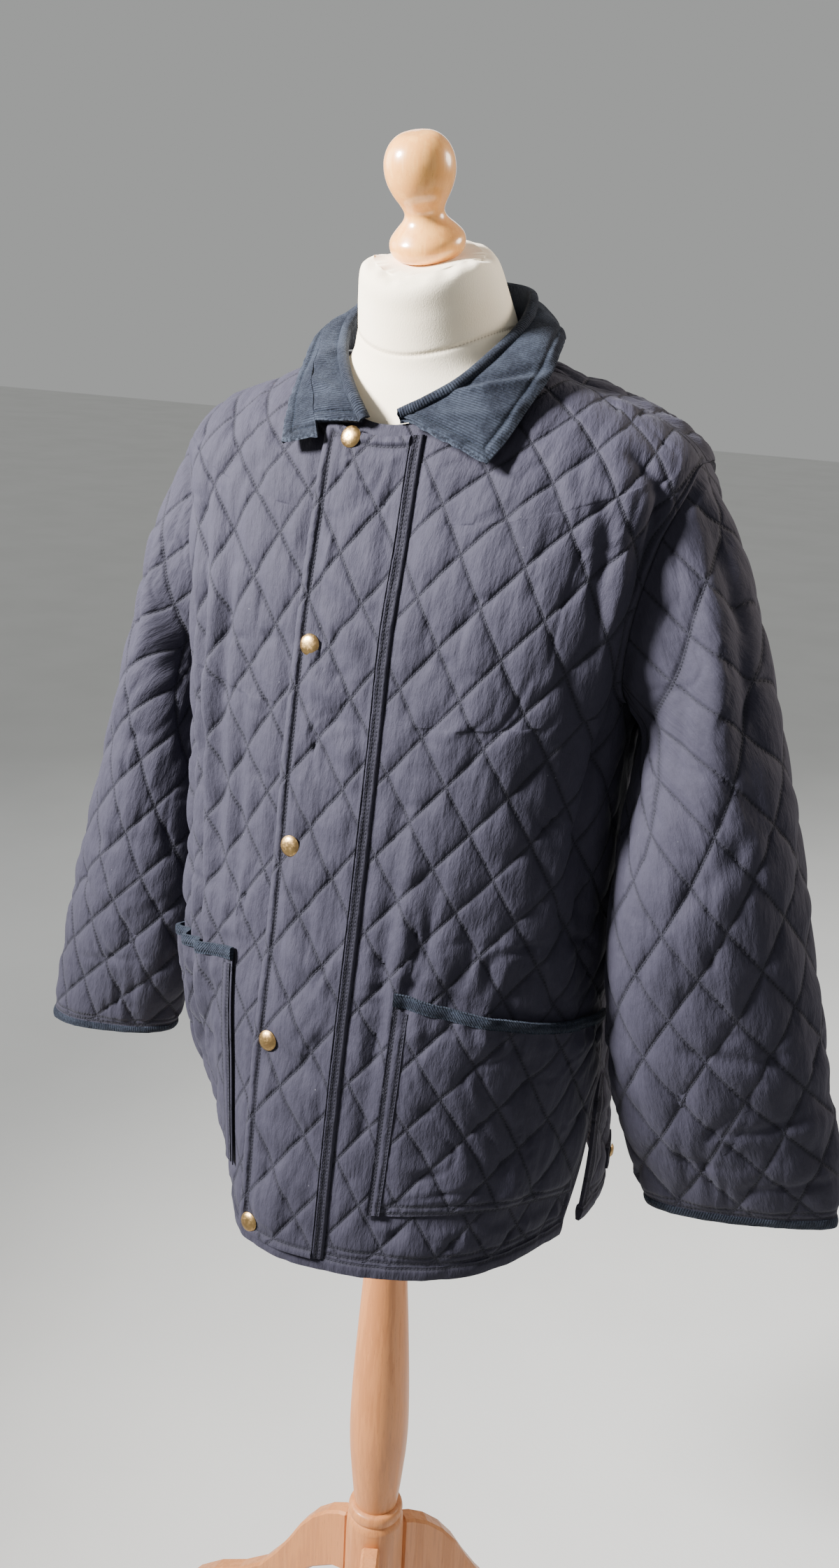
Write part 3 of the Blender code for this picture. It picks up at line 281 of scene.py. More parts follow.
def ring_surface(table, azimuth, row):
    """Point of a stack of rings at an azimuth in degrees and a row of the table."""
    azimuth, row = np.broadcast_arrays(np.asarray(azimuth, float), np.asarray(row, float))
    ring = np.moveaxis(hermite(table, row), -1, 0)
    front_y, front_z, left_x, left_z, right_x, right_z, side_y, back_y, back_z, square = ring
    turn = np.radians(azimuth)
    across, ahead = np.sin(turn), np.cos(turn)
    power = 2.0 / square
    side_x = np.where(across > 0, left_x, right_x)
    side_z = np.where(across > 0, left_z, right_z)
    middle_z = (left_z + right_z) / 2
    far_y = np.where(ahead > 0, front_y, back_y)
    far_z = np.where(ahead > 0, front_z, back_z)
    x = side_x * np.sign(across) * np.abs(across) ** power
    y = side_y + (far_y - side_y) * np.abs(ahead) ** power
    z = middle_z + (far_z - middle_z) * ahead ** 2 + (side_z - middle_z) * across ** 2
    return np.stack([x, y, z], -1)


def body(azimuth, row):
    points = ring_surface(BODY_RINGS, azimuth, row)
    azimuth, row = np.broadcast_arrays(np.asarray(azimuth, float), np.asarray(row, float))
    share = np.clip((-azimuth - SINK_FROM) / (90.0 - SINK_FROM), 0.0, 1.0)
    fade = np.clip(1 - row / SINK_ROWS, 0.0, 1.0) ** 1.5
    sunk = np.sin(pi * share ** 0.8) ** 2 * fade
    points[..., 1] += SINK_DEPTH * sunk
    points[..., 2] += SINK_LIFT * sunk
    return points


def unit(vectors):
    return vectors / np.maximum(np.linalg.norm(vectors, axis=-1, keepdims=True), 1e-12)


def normals_of(surface, a, b, step_a, step_b, low_b, high_b):
    """Outward unit normals of surface(a, b) by differences, with b held within a range."""
    a, b = np.broadcast_arrays(np.asarray(a, float), np.asarray(b, float))
    along_a = surface(a + step_a, b) - surface(a - step_a, b)
    along_b = surface(a, np.minimum(b + step_b, high_b)) - surface(a, np.maximum(b - step_b, low_b))
    return unit(np.cross(along_a, along_b))


def body_normal(azimuth, row):
    return normals_of(body, azimuth, row, 1.0, 0.05, 0.0, ROW_NECK)


def solve(value, target, low, high):
    """Where a rising function of one array reaches a target, by halving."""
    low, high = np.full(np.shape(target), float(low)), np.full(np.shape(target), float(high))
    for _ in range(22):
        middle = (low + high) / 2
        above = value(middle) > target
        high = np.where(above, middle, high)
        low = np.where(above, low, middle)
    return (low + high) / 2


def row_at_height(height, azimuth=0.0):
    return solve(lambda row: body(azimuth, row)[..., 2], np.asarray(height, float), 0.0, ROW_NECK)


def azimuth_at_x(x, row):
    """Front azimuth of the body's surface at a distance from the middle."""
    x = np.broadcast_to(np.asarray(x, float), np.shape(row))
    return solve(lambda azimuth: body(azimuth, row)[..., 0], x, -89.0, 89.0)


ARMHOLE_MIDDLE = (ROW_PIT + ROW_SHOULDER) / 2.0
ARMHOLE_HALF = (ROW_SHOULDER - ROW_PIT) / 2.0


def armhole(theta):
    """Azimuth and row of the armhole at an angle: 0 at the shoulder, 90 degrees at the front."""
    across = np.sin(theta)
    reach = np.where(across > 0, ARMHOLE_FRONT, ARMHOLE_BACK)
    return 90.0 - reach * across, ARMHOLE_MIDDLE + ARMHOLE_HALF * np.cos(theta)


def mirror_of(side):
    return 1.0 if side == "left" else -1.0


def sleeve_surface(side):
    """surface(theta, station) of a sleeve; station 0 is the armhole, the last one the cuff."""
    rings = np.array(SLEEVE_RINGS[side])
    outside, underarm, depth = rings[:, 0:3], rings[:, 3:6], rings[:, 6]
    middle, half = (outside + underarm) / 2, (outside - underarm) / 2
    front = unit(np.stack([half[:, 1], -half[:, 0], np.zeros(len(half))], -1))
    mirror = np.array([mirror_of(side), 1.0, 1.0])

    def surface(theta, station):
        theta, station = np.broadcast_arrays(np.asarray(theta, float), np.asarray(station, float))
        flat_theta, flat_station = theta.ravel(), station.ravel()
        cosine, sine = np.cos(flat_theta), np.sin(flat_theta)
        stack = (middle[:, None] + half[:, None] * cosine[None, :, None]
                 + front[:, None] * (depth[:, None] * sine[None, :])[..., None])
        azimuth, row = armhole(flat_theta)
        start = body(mirror[0] * azimuth, row) * mirror
        stack = np.concatenate([start[None], stack])
        low = np.minimum(np.maximum(flat_station, 0).astype(int), len(stack) - 2)
        slopes = np.gradient(stack, axis=0)
        here, after = (low, np.arange(len(flat_theta))), (low + 1, np.arange(len(flat_theta)))
        points = between_rings((flat_station - low)[:, None], stack[here], stack[after],
                               slopes[here], slopes[after])
        return (points * mirror).reshape(theta.shape + (3,))

    return surface


def sleeve_normal(side, theta, station):
    facing = mirror_of(side)
    return facing * normals_of(sleeve_surface(side), theta, station, 0.02, 0.05, 0.0, LAST_STATION)


def armhole_inward(side, thetas):
    """At each angle of the armhole, the way from the seam's outside into the cloth."""
    surface = sleeve_surface(side)
    nothing = np.zeros_like(thetas)
    along = unit(surface(thetas + 0.02, nothing) - surface(thetas - 0.02, nothing))
    azimuth, row = armhole(thetas)
    normals = body_normal(mirror_of(side) * azimuth, row) + sleeve_normal(side, thetas, nothing + 0.25)
    return unit(along * (normals * along).sum(-1, keepdims=True) - normals)


# ---------------------------------------------------------------- cloth
def smooth_step(low, high, value):
    share = np.clip((value - low) / (high - low), 0.0, 1.0)
    return share * share * (3 - 2 * share)


def noise(places, seed):
    """Smooth noise from -1 to 1 over an array of 3-D places, with a cell of 1."""
    lattice = np.random.default_rng(seed).uniform(-1, 1, (32, 32, 32))
    cell = np.floor(places).astype(int)
    share = places - cell
    share = share * share * (3 - 2 * share)
    total = np.zeros(places.shape[:-1])
    for corner in np.ndindex(2, 2, 2):
        weight = np.prod(np.where(np.array(corner) == 1, share, 1 - share), axis=-1)
        at = (cell + corner) % 32
        total += weight * lattice[at[..., 0], at[..., 1], at[..., 2]]
    return total


def noise_at(x, y, z, seed):
    """Smooth noise over three coordinates, each given in cells."""
    return noise(np.stack(np.broadcast_arrays(x, y, z), -1), seed)


def ridge(x, y, start, end, width):
    """Height 0..1 of a rounded ridge along the line from start to end, thinner at its ends."""
    way = end - start
    share = ((x - start[0]) * way[0] + (y - start[1]) * way[1]) / (way @ way)
    inside = np.clip(share, 0.0, 1.0)
    away = np.hypot(x - start[0] - way[0] * inside, y - start[1] - way[1] * inside)
    return np.exp(-(away / width) ** 2) * (0.35 + 0.65 * np.sin(pi * np.clip(share, 0.05, 0.95)))


def with_folds(height, x, y, table, scale):
    """A height with the folds of a table added; scale turns x, y and the folds' ends into metres."""
    for start, end, width, rise in table:
        start, end = np.multiply(start, scale), np.multiply(end, scale)
        height = height + rise * ridge(x * scale[0], y * scale[1], start, end, width)
    return height


DEGREE = 0.0029          # metres across the body per degree of azimuth
ROW_HEIGHT = 0.0625      # metres up the body per row
# Named folds of the body: start and end as (azimuth, row), width and rise in metres.
BODY_FOLDS = (
    ((62, 10.4), (76, 7.2), 0.009, -0.0105),
    ((52, 10.1), (67, 6.9), 0.012, 0.0045),
    ((76, 7.4), (62, 4.4), 0.010, -0.0075),
    ((45, 10.3), (56, 8.0), 0.008, -0.0040),
    ((70, 5.6), (76, 3.0), 0.010, -0.0045),
    ((66, 6.6), (58, 3.4), 0.012, 0.0035),
    ((-62, 10.2), (-76, 7.3), 0.009, -0.0050),
    ((-52, 9.6), (-66, 6.4), 0.012, 0.0025),
    ((36, 4.6), (30, 3.2), 0.008, -0.0030),
    ((14, 2.4), (24, 0.7), 0.010, -0.0022),
    ((13, 6.4), (15, 1.4), 0.006, -0.0034),
    ((18, 6.0), (17, 0.9), 0.006, 0.0030),
    ((25, 5.0), (20, 3.4), 0.006, -0.0030),
    ((46, 4.3), (40, 3.0), 0.009, 0.0026),
    ((-30, 10.6), (-36, 6.2), 0.008, -0.0034),
    ((-40, 9.8), (-44, 5.2), 0.009, 0.0032),
    ((-24, 7.0), (-27, 2.8), 0.007, -0.0034),
    ((-52, 6.4), (-50, 2.6), 0.009, -0.0036),
    ((62, 1.6), (44, 0.6), 0.012, 0.0025),
    ((118, 9.6), (107, 7.0), 0.011, -0.0055),
    ((-117, 9.6), (-106, 7.0), 0.011, -0.0055),
    ((132, 9.0), (150, 5.2), 0.018, 0.0030),
    ((-134, 8.6), (-160, 4.6), 0.018, 0.0028),
    ((150, 4.6), (140, 0.4), 0.016, -0.0035),
    ((-148, 5.0), (-136, 0.6), 0.015, -0.0035),
    ((176, 6.8), (170, 1.0), 0.020, 0.0028),
    ((104, 5.0), (112, 0.8), 0.014, 0.0030),
    ((-103, 4.6), (-114, 0.8), 0.014, 0.0030),
)
BROAD_LIE = 0.0022       # how far the cloth lies uneven over the body, broadly and finely
FINE_LIE = 0.0014
RIPPLE = 12.5            # degrees between the upright ripples of the right front
RIPPLE_RISE = 0.0042
HEM_RISE = 0.0028        # of the slow waves along the hem
HEM_WAVES = 7            # of them around the body
HOLE_CLEAR = 20.5        # degrees beside an armhole's middle where its seam lies free of folds


def body_folds(azimuth, row):
    """How far the cloth stands out from the body's smooth surface, in metres."""
    points = body(azimuth, row)
    height = BROAD_LIE * noise(points / np.array([0.060, 0.060, 0.090]), 1)
    height += FINE_LIE * noise(points / np.array([0.030, 0.030, 0.060]) + 7, 2)
    height = with_folds(height, azimuth, row, BODY_FOLDS, (DEGREE, ROW_HEIGHT))
    bend = 5 * noise(points / 0.11 + 3, 3)
    ripples = RIPPLE_RISE * np.cos(2 * pi * (azimuth + bend) / RIPPLE)
    ripples = ripples * smooth_step(24, 40, -azimuth) * smooth_step(92, 76, -azimuth)
    height += ripples * smooth_step(0.4, 2.0, row) * smooth_step(9.6, 7.0, row)
    hem = HEM_RISE * np.cos(np.radians(azimuth) * HEM_WAVES + 0.8 + bend / 9) * smooth_step(3.2, 0.0, row)
    height += hem * smooth_step(28, 44, np.abs(azimuth))
    near = np.hypot((np.abs(azimuth) - 90.0) / HOLE_CLEAR, (row - ARMHOLE_MIDDLE) / ARMHOLE_HALF)
    return height * smooth_step(1.0, 1.25, near) * smooth_step(12.0, 11.2, row)


def lifted(azimuth, row, lift):
    """Points of the body's surface with its folds, moved out along the normal."""
    azimuth, row = np.broadcast_arrays(np.asarray(azimuth, float), np.asarray(row, float))
    height = body_folds(azimuth, row) + lift
    return body(azimuth, row) + body_normal(azimuth, row) * height[..., None]


def lengths(points, axis, origin=0):
    """Running length along the rows or columns of a grid, from the line numbered origin."""
    steps = np.linalg.norm(np.diff(points, axis=axis), axis=-1)
    first = np.zeros_like(np.take(steps, [0], axis=axis))
    run = np.concatenate([first, np.cumsum(steps, axis=axis)], axis=axis)
    return run - np.take(run, [origin], axis=axis)


def spans(grid, row=0, column=0):
    """Lengths across and up a grid from one of its columns and one of its rows."""
    return lengths(grid, 1, column), lengths(grid, 0, row)


def wadding(across, up):
    """Share 0..1 of the wadding's height: 0 on a stitch line, 1 in the middle of a lozenge."""
    share = 1.0
    for sign in (1, -1):
        line = across / LOZENGE_WIDE + sign * up / LOZENGE_TALL
        share = share * (1 - (1 - 2 * np.abs(line - np.round(line))) ** 3.2)
    return share


FINE_WRINKLE = 0.00070
BROAD_WRINKLE = 0.00150
CREASE = 0.0014
EDGE_FROM, EDGE_TO = 0.001, 0.014    # where the wadding swells, from a piece's edge
STITCH_DIP = 0.0005
DIP_HALF = 0.0016        # half the width of that dip


def crinkles(across, up, seed):
    """Fine wrinkles that run up the cloth, strongest beside the stitch lines."""
    lean = 0.25 * noise_at(across / 0.06, up / 0.08, seed, seed + 2)
    bent = across + up * lean
    fine = noise_at(bent / 0.0080, up / 0.030, seed, seed)
    broad = noise_at(bent / 0.017, up / 0.042, seed, seed + 1)
    creases = np.maximum(0.0, 1 - 4.5 * np.abs(noise_at(bent / 0.024, up / 0.055, 2 * seed, seed + 3)))
    height = FINE_WRINKLE * fine + BROAD_WRINKLE * broad - CREASE * creases
    return height * (1.2 - 0.5 * wadding(across, up))


def relief(across, up, inside, seed, puff=PUFF):
    """Height of quilted cloth; inside is the distance from the piece's edges."""
    rise = smooth_step(EDGE_FROM, EDGE_TO, inside)
    return (puff * wadding(across, up) + crinkles(across, up, seed)) * rise


def seam_ridge(distance, line, rise):
    """A rounded ridge between an edge and its topstitching, and the dip of the stitches."""
    ridge_part = np.sin(pi * np.clip(distance / line, 0.0, 1.0)) * rise
    return ridge_part - STITCH_DIP * np.exp(-((distance - line) / DIP_HALF) ** 2)


def pair(first, second):
    """Two grids of lengths as the UVs of one map."""
    return np.stack(np.broadcast_arrays(first, second), -1)


def nearest_edge(*edges):
    """UVs of the nearest of one or several edges, each given as (distance, length along it)."""
    distance, along = edges[0]
    for other_distance, other_along in edges[1:]:
        along = np.where(other_distance < distance, other_along, along)
        distance = np.minimum(distance, other_distance)
    return pair(distance, along + ALONG_START)


# ---------------------------------------------------------------- meshes
def add_mesh(name, points, quads, maps, finish):
    """A smooth mesh that faces outwards; maps holds the UVs of each corner of each quad."""
    corners = points[quads]
    volume = np.einsum("ij,ij->i", corners[:, 0], np.cross(corners[:, 1], corners[:, 2])
                       + np.cross(corners[:, 2], corners[:, 3])).sum()
    if volume < 0:
        quads = quads[:, ::-1]
        maps = {key: uvs[:, ::-1] for key, uvs in maps.items()}
    mesh = bpy.data.meshes.new(name)
    mesh.vertices.add(len(points))
    mesh.vertices.foreach_set("co", (points + MIDDLE).astype(np.float32).ravel())
    mesh.loops.add(quads.size)
    mesh.loops.foreach_set("vertex_index", quads.astype(np.int32).ravel())
    mesh.polygons.add(len(quads))
    mesh.polygons.foreach_set("loop_start", np.arange(0, quads.size, 4, dtype=np.int32))
    for key, uvs in maps.items():
        layer = mesh.uv_layers.new(name=key)
        layer.data.foreach_set("uv", uvs.astype(np.float32).ravel())
    mesh.update(calc_edges=True)
    mesh.shade_smooth()
    mesh.set_sharp_from_angle(angle=radians(60))
    mesh.materials.append(finish)
    made = bpy.data.objects.new(name, mesh)
    bpy.context.collection.objects.link(made)
    return made


def wall(name, outer, inner, cloth, edge, finish, closed=False):
    """A closed wall between two grids; with closed, the last column is the first one again."""
    if closed:
        outer, inner = outer[:, :-1], inner[:, :-1]
    rows, columns = outer.shape[:2]
    mapped = cloth.shape[1]
    steps = columns if closed else columns - 1

    def corners(row, column, layer):
        vertex = layer * rows * columns + row * columns + column % columns
        return vertex, row * mapped + column

    def quads(a, b, c, d):
        return [np.stack(part, -1).reshape(-1, 4) for part in zip(a, b, c, d)]

    row, column = np.meshgrid(np.arange(rows - 1), np.arange(steps), indexing="ij")
    faces = []
    for layer in (0, 1):
        ring = [corners(row, column, layer), corners(row, column + 1, layer),
                corners(row + 1, column + 1, layer), corners(row + 1, column, layer)]
        faces.append(quads(*(ring if layer == 0 else ring[::-1])))
    column = np.arange(steps)
    for last in (0, rows - 1):
        ring = [corners(last, column + 1, 0), corners(last, column, 0),
                corners(last, column, 1), corners(last, column + 1, 1)]
        faces.append(quads(*(ring if last == 0 else ring[::-1])))
    if not closed:
        row = np.arange(rows - 1)
        for last in (0, columns - 1):
            ring = [corners(row, last, 0), corners(row + 1, last, 0),
                    corners(row + 1, last, 1), corners(row, last, 1)]
            faces.append(quads(*(ring if last == 0 else ring[::-1])))
    vertex = np.concatenate([face[0] for face in faces])
    mapping = np.concatenate([face[1] for face in faces])
    points = np.concatenate([outer.reshape(-1, 3), inner.reshape(-1, 3)])
    maps = {"cloth": cloth.reshape(-1, 2)[mapping], "edge": edge.reshape(-1, 2)[mapping]}
    return add_mesh(name, points, vertex, maps, finish)


def tube(name, points, maps, finish):
    """A skin over rings of points, each ring with its first point again as its last."""
    rows, columns = points.shape[0], points.shape[1] - 1
    row, column = np.meshgrid(np.arange(rows - 1), np.arange(columns), indexing="ij")

    def corners(width):
        here, after = row * width + column, row * width + (column + 1) % width
        return np.stack([here, after, after + width, here + width], -1).reshape(-1, 4)

    maps = {key: uvs.reshape(-1, 2)[corners(columns + 1)] for key, uvs in maps.items()}
    return add_mesh(name, points[:, :-1].reshape(-1, 3), corners(columns), maps, finish)


def lathe(name, profile, finish, segments=96, steps=6, location=(0, 0, 0), turn=Quaternion()):
    """A closed turned solid from a profile that runs top to bottom, rounded between its points."""
    fine = hermite(profile, np.linspace(0, len(profile) - 1, (len(profile) - 1) * steps + 1))
    radius, height = np.maximum(fine[:, 0:1], 2e-5), fine[:, 1:2]
    angle = np.linspace(0, 2 * pi, segments + 1)
    points = np.stack(np.broadcast_arrays(radius * np.cos(angle), radius * np.sin(angle), height), -1)
    cap = points * np.array([0.001, 0.001, 1.0])
    points = np.concatenate([cap[:1], points, cap[-1:]])
    placed = points @ np.array(turn.to_matrix()).T + np.array(Vector(location))
    cloth = pair(np.arange(segments + 1), np.arange(len(points))[:, None]) / segments
    return tube(name, placed, {"cloth": cloth}, finish)


def settle(made, node):
    """The piece takes the place of the CAD node with its name."""
    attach(made, "root")
    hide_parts(node)
    return made


def sew(kind, node, grids, finish, closed=False):
    """A sewn piece; its cut is measured on the smooth grid that it was made from."""
    outer, inner, smooth, cloth, edge = grids
    made = wall(kind + "_" + node, outer, inner, cloth, edge, finish, closed)
    settle(made, node)
    sides = np.diff(smooth, axis=1)[:-1], np.diff(smooth, axis=0)[:, :-1]
    area = np.linalg.norm(np.cross(*sides), axis=-1).sum()


# ---------------------------------------------------------------- finishes
class Finish:
    """A node material that is put together with short calls."""

    def __init__(self, name, **values):
        self.material = bpy.data.materials.new(name)
        self.material.use_nodes = True
        self.tree = self.material.node_tree
        self.shader = self.tree.nodes["Principled BSDF"]
        for socket, value in values.items():
            self.put(socket.replace("_", " "), value)

    def put(self, socket, value):
        self.set(self.shader.inputs[socket], value)

    def set(self, socket, value):
        if isinstance(value, bpy.types.NodeSocket):
            self.tree.links.new(value, socket)
        else:
            socket.default_value = value

    def node(self, kind, inputs=(), **settings):
        made = self.tree.nodes.new("ShaderNode" + kind)
        for key, value in settings.items():
            setattr(made, key, value)
        for socket, value in dict(inputs).items():
            self.set(made.inputs[socket], value)
        return made

    def math(self, operation, *values):
        return self.node("Math", enumerate(values), operation=operation).outputs[0]

    def chain(self, operation, *values):
        total = values[0]
        for value in values[1:]:
            total = self.math(operation, total, value)
        return total

    def sum(self, *values):
        return self.chain("ADD", *values)

    def times(self, *values):
        return self.chain("MULTIPLY", *values)

    def greatest(self, *values):
        return self.chain("MAXIMUM", *values)

    def away(self, value, line):
        """How far a value lies from a line, on either side."""
        return self.math("ABSOLUTE", self.math("SUBTRACT", value, line))

    def uv(self, name):
        place = self.node("UVMap", uv_map=name).outputs[0]
        split = self.node("SeparateXYZ", {0: place})
        return place, split.outputs[0], split.outputs[1]

    def place(self):
        return self.node("TexCoord").outputs["Object"]

    def scaled(self, vector, *scale):
        return self.node("VectorMath", {0: vector, 1: scale}, operation="MULTIPLY").outputs[0]

    def noise(self, vector, scale, detail=3.0, roughness=0.55):
        return self.node("TexNoise", {"Vector": vector, "Scale": scale, "Detail": detail,
                                      "Roughness": roughness}).outputs[0]

    def between(self, value, low, high, out_low=0.0, out_high=1.0):
        inputs = {0: value, 1: low, 2: high, 3: out_low, 4: out_high}
        return self.node("MapRange", inputs, interpolation_type="SMOOTHSTEP").outputs[0]

    def mix(self, share, first, second, kind="MIX"):
        made = self.node("Mix", data_type="RGBA", blend_type=kind)
        for number, value in ((0, share), (6, first), (7, second)):
            self.set(made.inputs[number], value if not isinstance(value, tuple) else (*value, 1.0))
        return made.outputs[2]

    def bump(self, height, distance, strength=1.0):
        """height in shares of distance; a later bump lies on the earlier ones."""
        made = self.node("Bump", {"Height": height, "Distance": distance, "Strength": strength})
        if self.shader.inputs["Normal"].links:
            self.set(made.inputs["Normal"], self.shader.inputs["Normal"].links[0].from_socket)
        self.put("Normal", made.outputs[0])


def stitch_line(finish, distance, along):
    """Share of thread on a line of stitches, and the dip that the line pulls into the cloth."""
    part = finish.math("FRACT", finish.math("DIVIDE", along, STITCH))
    thread = finish.times(finish.between(part, 0.02, 0.12), finish.between(part, 0.74, 0.62),
                          finish.between(distance, 0.0006, 0.00025))
    pull = finish.between(part, 0.0, 0.5, 1.0, 0.75)
    square = finish.times(distance, distance, -1 / 0.0017 ** 2)
    dip = finish.times(finish.math("EXPONENT", square), pull)
    return thread, dip


def quilt_lines(finish, across, up):
    """Thread and dip of both families of quilting lines."""
    lines = []
    for sign in (1, -1):
        line = finish.sum(finish.times(across, 1 / LOZENGE_WIDE), finish.times(up, sign / LOZENGE_TALL))
        off = finish.away(line, finish.math("ROUND", line))
        along = finish.sum(finish.times(across, LOZENGE_WIDE / LINE_LENGTH),
                           finish.times(up, -sign * LOZENGE_TALL / LINE_LENGTH), 10.0)
        lines.append(stitch_line(finish, finish.times(off, LINE_SPACING), along))
    return [finish.greatest(*values) for values in zip(*lines)]


NAVY, NAVY_FADED, NAVY_MOTTLE = (0.0212, 0.0200, 0.0335), (0.0278, 0.0262, 0.0425), (0.040, 0.038, 0.058)
# Painted shade: the dip colour darkens the cloth in the groove along each stitch line.
NAVY_DIP_SHADE, NAVY_THREAD, LINT = (0.006, 0.006, 0.010), (0.011, 0.011, 0.018), (0.16, 0.16, 0.19)
# Painted shade: the groove colour is the darkness between the wales.
GROOVE_SHADE, RIB, RIB_WORN = (0.0030, 0.0042, 0.0085), (0.0058, 0.0084, 0.0170), (0.0330, 0.0415, 0.0620)
EDGE_WORN, NAP = (0.060, 0.075, 0.105), (0.046, 0.056, 0.082)
# Painted shade: the dip colour darkens the corduroy in the groove along each stitch line.
RIB_DIP_SHADE, RIB_THREAD = (0.004, 0.007, 0.014), (0.020, 0.028, 0.046)
BRASS_LIGHT, BRASS_BROWN, BRASS_STAIN = (0.62, 0.41, 0.17), (0.47, 0.30, 0.13), (0.20, 0.12, 0.06)
CREAM, CREAM_LIGHT = (0.93, 0.81, 0.62), (0.96, 0.87, 0.70)
# Painted shade: the dip colour darkens the jersey in the neck seam's groove.
CREAM_DIP_SHADE, CREAM_THREAD = (0.50, 0.40, 0.28), (0.42, 0.33, 0.22)
VARNISHED_LIGHT, VARNISHED_DARK = (0.95, 0.47, 0.13), (0.80, 0.33, 0.075)
BEECH_LIGHT, BEECH_DARK = (0.60, 0.238, 0.078), (0.44, 0.160, 0.048)
GRAIN_STRETCH = 0.045    # of the beech's grain, along the height
FLOOR_DARK, FLOOR_LIGHT = (0.76, 0.76, 0.745), (0.80, 0.80, 0.785)


def cloth_finish(name, quilted, topstitches):
    """Brushed navy cloth with tone-on-tone stitching, faint fading, a little lint and painted shade in the
    stitch dips.
    """
    finish = Finish(name, Roughness=0.82, Sheen_Weight=0.05, Sheen_Roughness=0.45)
    finish.put("Sheen Tint", (0.66, 0.68, 0.82, 1.0))
    finish.put("Specular IOR Level", 0.25)
    place = finish.place()
    cloth, across, up = finish.uv("cloth")
    _, distance, along = finish.uv("edge")
    patches = finish.between(finish.noise(place, 9.0, 3.0), 0.30, 0.70)
    mottle = finish.between(finish.noise(place, 160.0, 4.0, 0.7), 0.25, 0.75)
    colour = finish.mix(patches, NAVY, NAVY_FADED)
    colour = finish.mix(finish.times(mottle, 0.35), colour, NAVY_MOTTLE)
    lines = [quilt_lines(finish, across, up)] if quilted else []
    lines += [stitch_line(finish, finish.away(distance, line), along) for line in topstitches]
    thread, dip = (finish.greatest(*values) for values in zip(*lines))
    # Painted shade: the cloth is darkened in the dip that each stitch line pulls into it.
    colour = finish.mix(finish.times(dip, 0.55), colour, NAVY_DIP_SHADE)
    colour = finish.mix(finish.times(thread, 0.75), colour, NAVY_THREAD)
    lint = finish.node("TexVoronoi", {"Vector": place, "Scale": 75.0})
    speck = finish.times(finish.between(lint.outputs["Distance"], 0.055, 0.02),
                         finish.between(finish.noise(place, 31.0, 1.0), 0.60, 0.68))
    colour = finish.mix(finish.times(speck, 0.6), colour, LINT)
    finish.put("Base Color", colour)
    weave = finish.noise(finish.scaled(cloth, 1.0, 0.6, 1.0), 1500.0, 2.0, 0.6)
    finish.bump(weave, 0.00025, 0.55)
    wrinkles = finish.noise(finish.scaled(cloth, 1.0, 0.30, 1.0), 150.0, 4.0, 0.6)
    finish.bump(wrinkles, 0.0022, 0.8)
    finish.bump(finish.math("SUBTRACT", finish.times(thread, 0.35), dip), 0.0012, 0.9)
    return finish.material


def corduroy_finish(name, slant=0.0, topstitches=()):
    """Fine-wale navy corduroy: painted shade in the grooves and along the stitches, worn light ribs,
    flattened in patches.
    """
    finish = Finish(name, Roughness=0.9, Sheen_Weight=0.06, Sheen_Roughness=0.4)
    finish.put("Sheen Tint", (0.55, 0.66, 0.88, 1.0))
    finish.put("Specular IOR Level", 0.2)
    place = finish.place()
    cloth, across, up = finish.uv("cloth")
    _, distance, along = finish.uv("edge")
    wander = finish.times(finish.sum(finish.noise(cloth, 60.0, 2.0), -0.5), 0.0016)
    rib = finish.math("ABSOLUTE", finish.math("SINE", finish.times(
        finish.sum(across, finish.times(up, slant), wander), pi / WALE)))
    rib = finish.math("POWER", rib, 0.75)
    wear = finish.between(finish.noise(place, 34.0, 7.0, 0.72), 0.42, 0.64)
    nap = finish.between(finish.noise(place, 420.0, 4.0, 0.75), 0.36, 0.66)
    crown = finish.mix(wear, RIB, RIB_WORN)
    # Painted shade: the grooves between the wales take a darker colour than the ribs.
    colour = finish.mix(rib, GROOVE_SHADE, crown)
    edge_wear = finish.times(finish.between(distance, 0.0035, 0.0), finish.between(nap, 0.2, 0.9), 0.55)
    colour = finish.mix(edge_wear, colour, EDGE_WORN)
    colour = finish.mix(finish.times(nap, 0.30), colour, NAP)
    for line in topstitches:
        thread, dip = stitch_line(finish, finish.away(distance, line), along)
        # Painted shade: the ribs are darkened in the dip of each stitch line.
        colour = finish.mix(finish.times(dip, 0.6), colour, RIB_DIP_SHADE)
        colour = finish.mix(finish.times(thread, 0.6), colour, RIB_THREAD)
    finish.put("Base Color", colour)
    finish.bump(nap, 0.0005, 0.7)
    finish.bump(rib, 0.0007, 0.8)
    if topstitches:
        finish.bump(finish.times(dip, -1.0), 0.0011, 0.9)
    return finish.material


def brass_finish():
    """Brass that has gone brown, with small scratches."""
    finish = Finish("aged_brass", Metallic=1.0)
    place = finish.place()
    stains = finish.between(finish.noise(place, 420.0, 4.0, 0.65), 0.40, 0.68)
    cloud = finish.between(finish.noise(place, 120.0, 2.0), 0.35, 0.65)
    colour = finish.mix(cloud, BRASS_LIGHT, BRASS_BROWN)
    colour = finish.mix(finish.times(stains, 0.6), colour, BRASS_STAIN)
    finish.put("Base Color", colour)
    finish.put("Roughness", finish.between(stains, 0.0, 1.0, 0.30, 0.52))
    finish.bump(finish.noise(place, 1600.0, 3.0, 0.7), 0.00008, 0.6)
    return finish.material


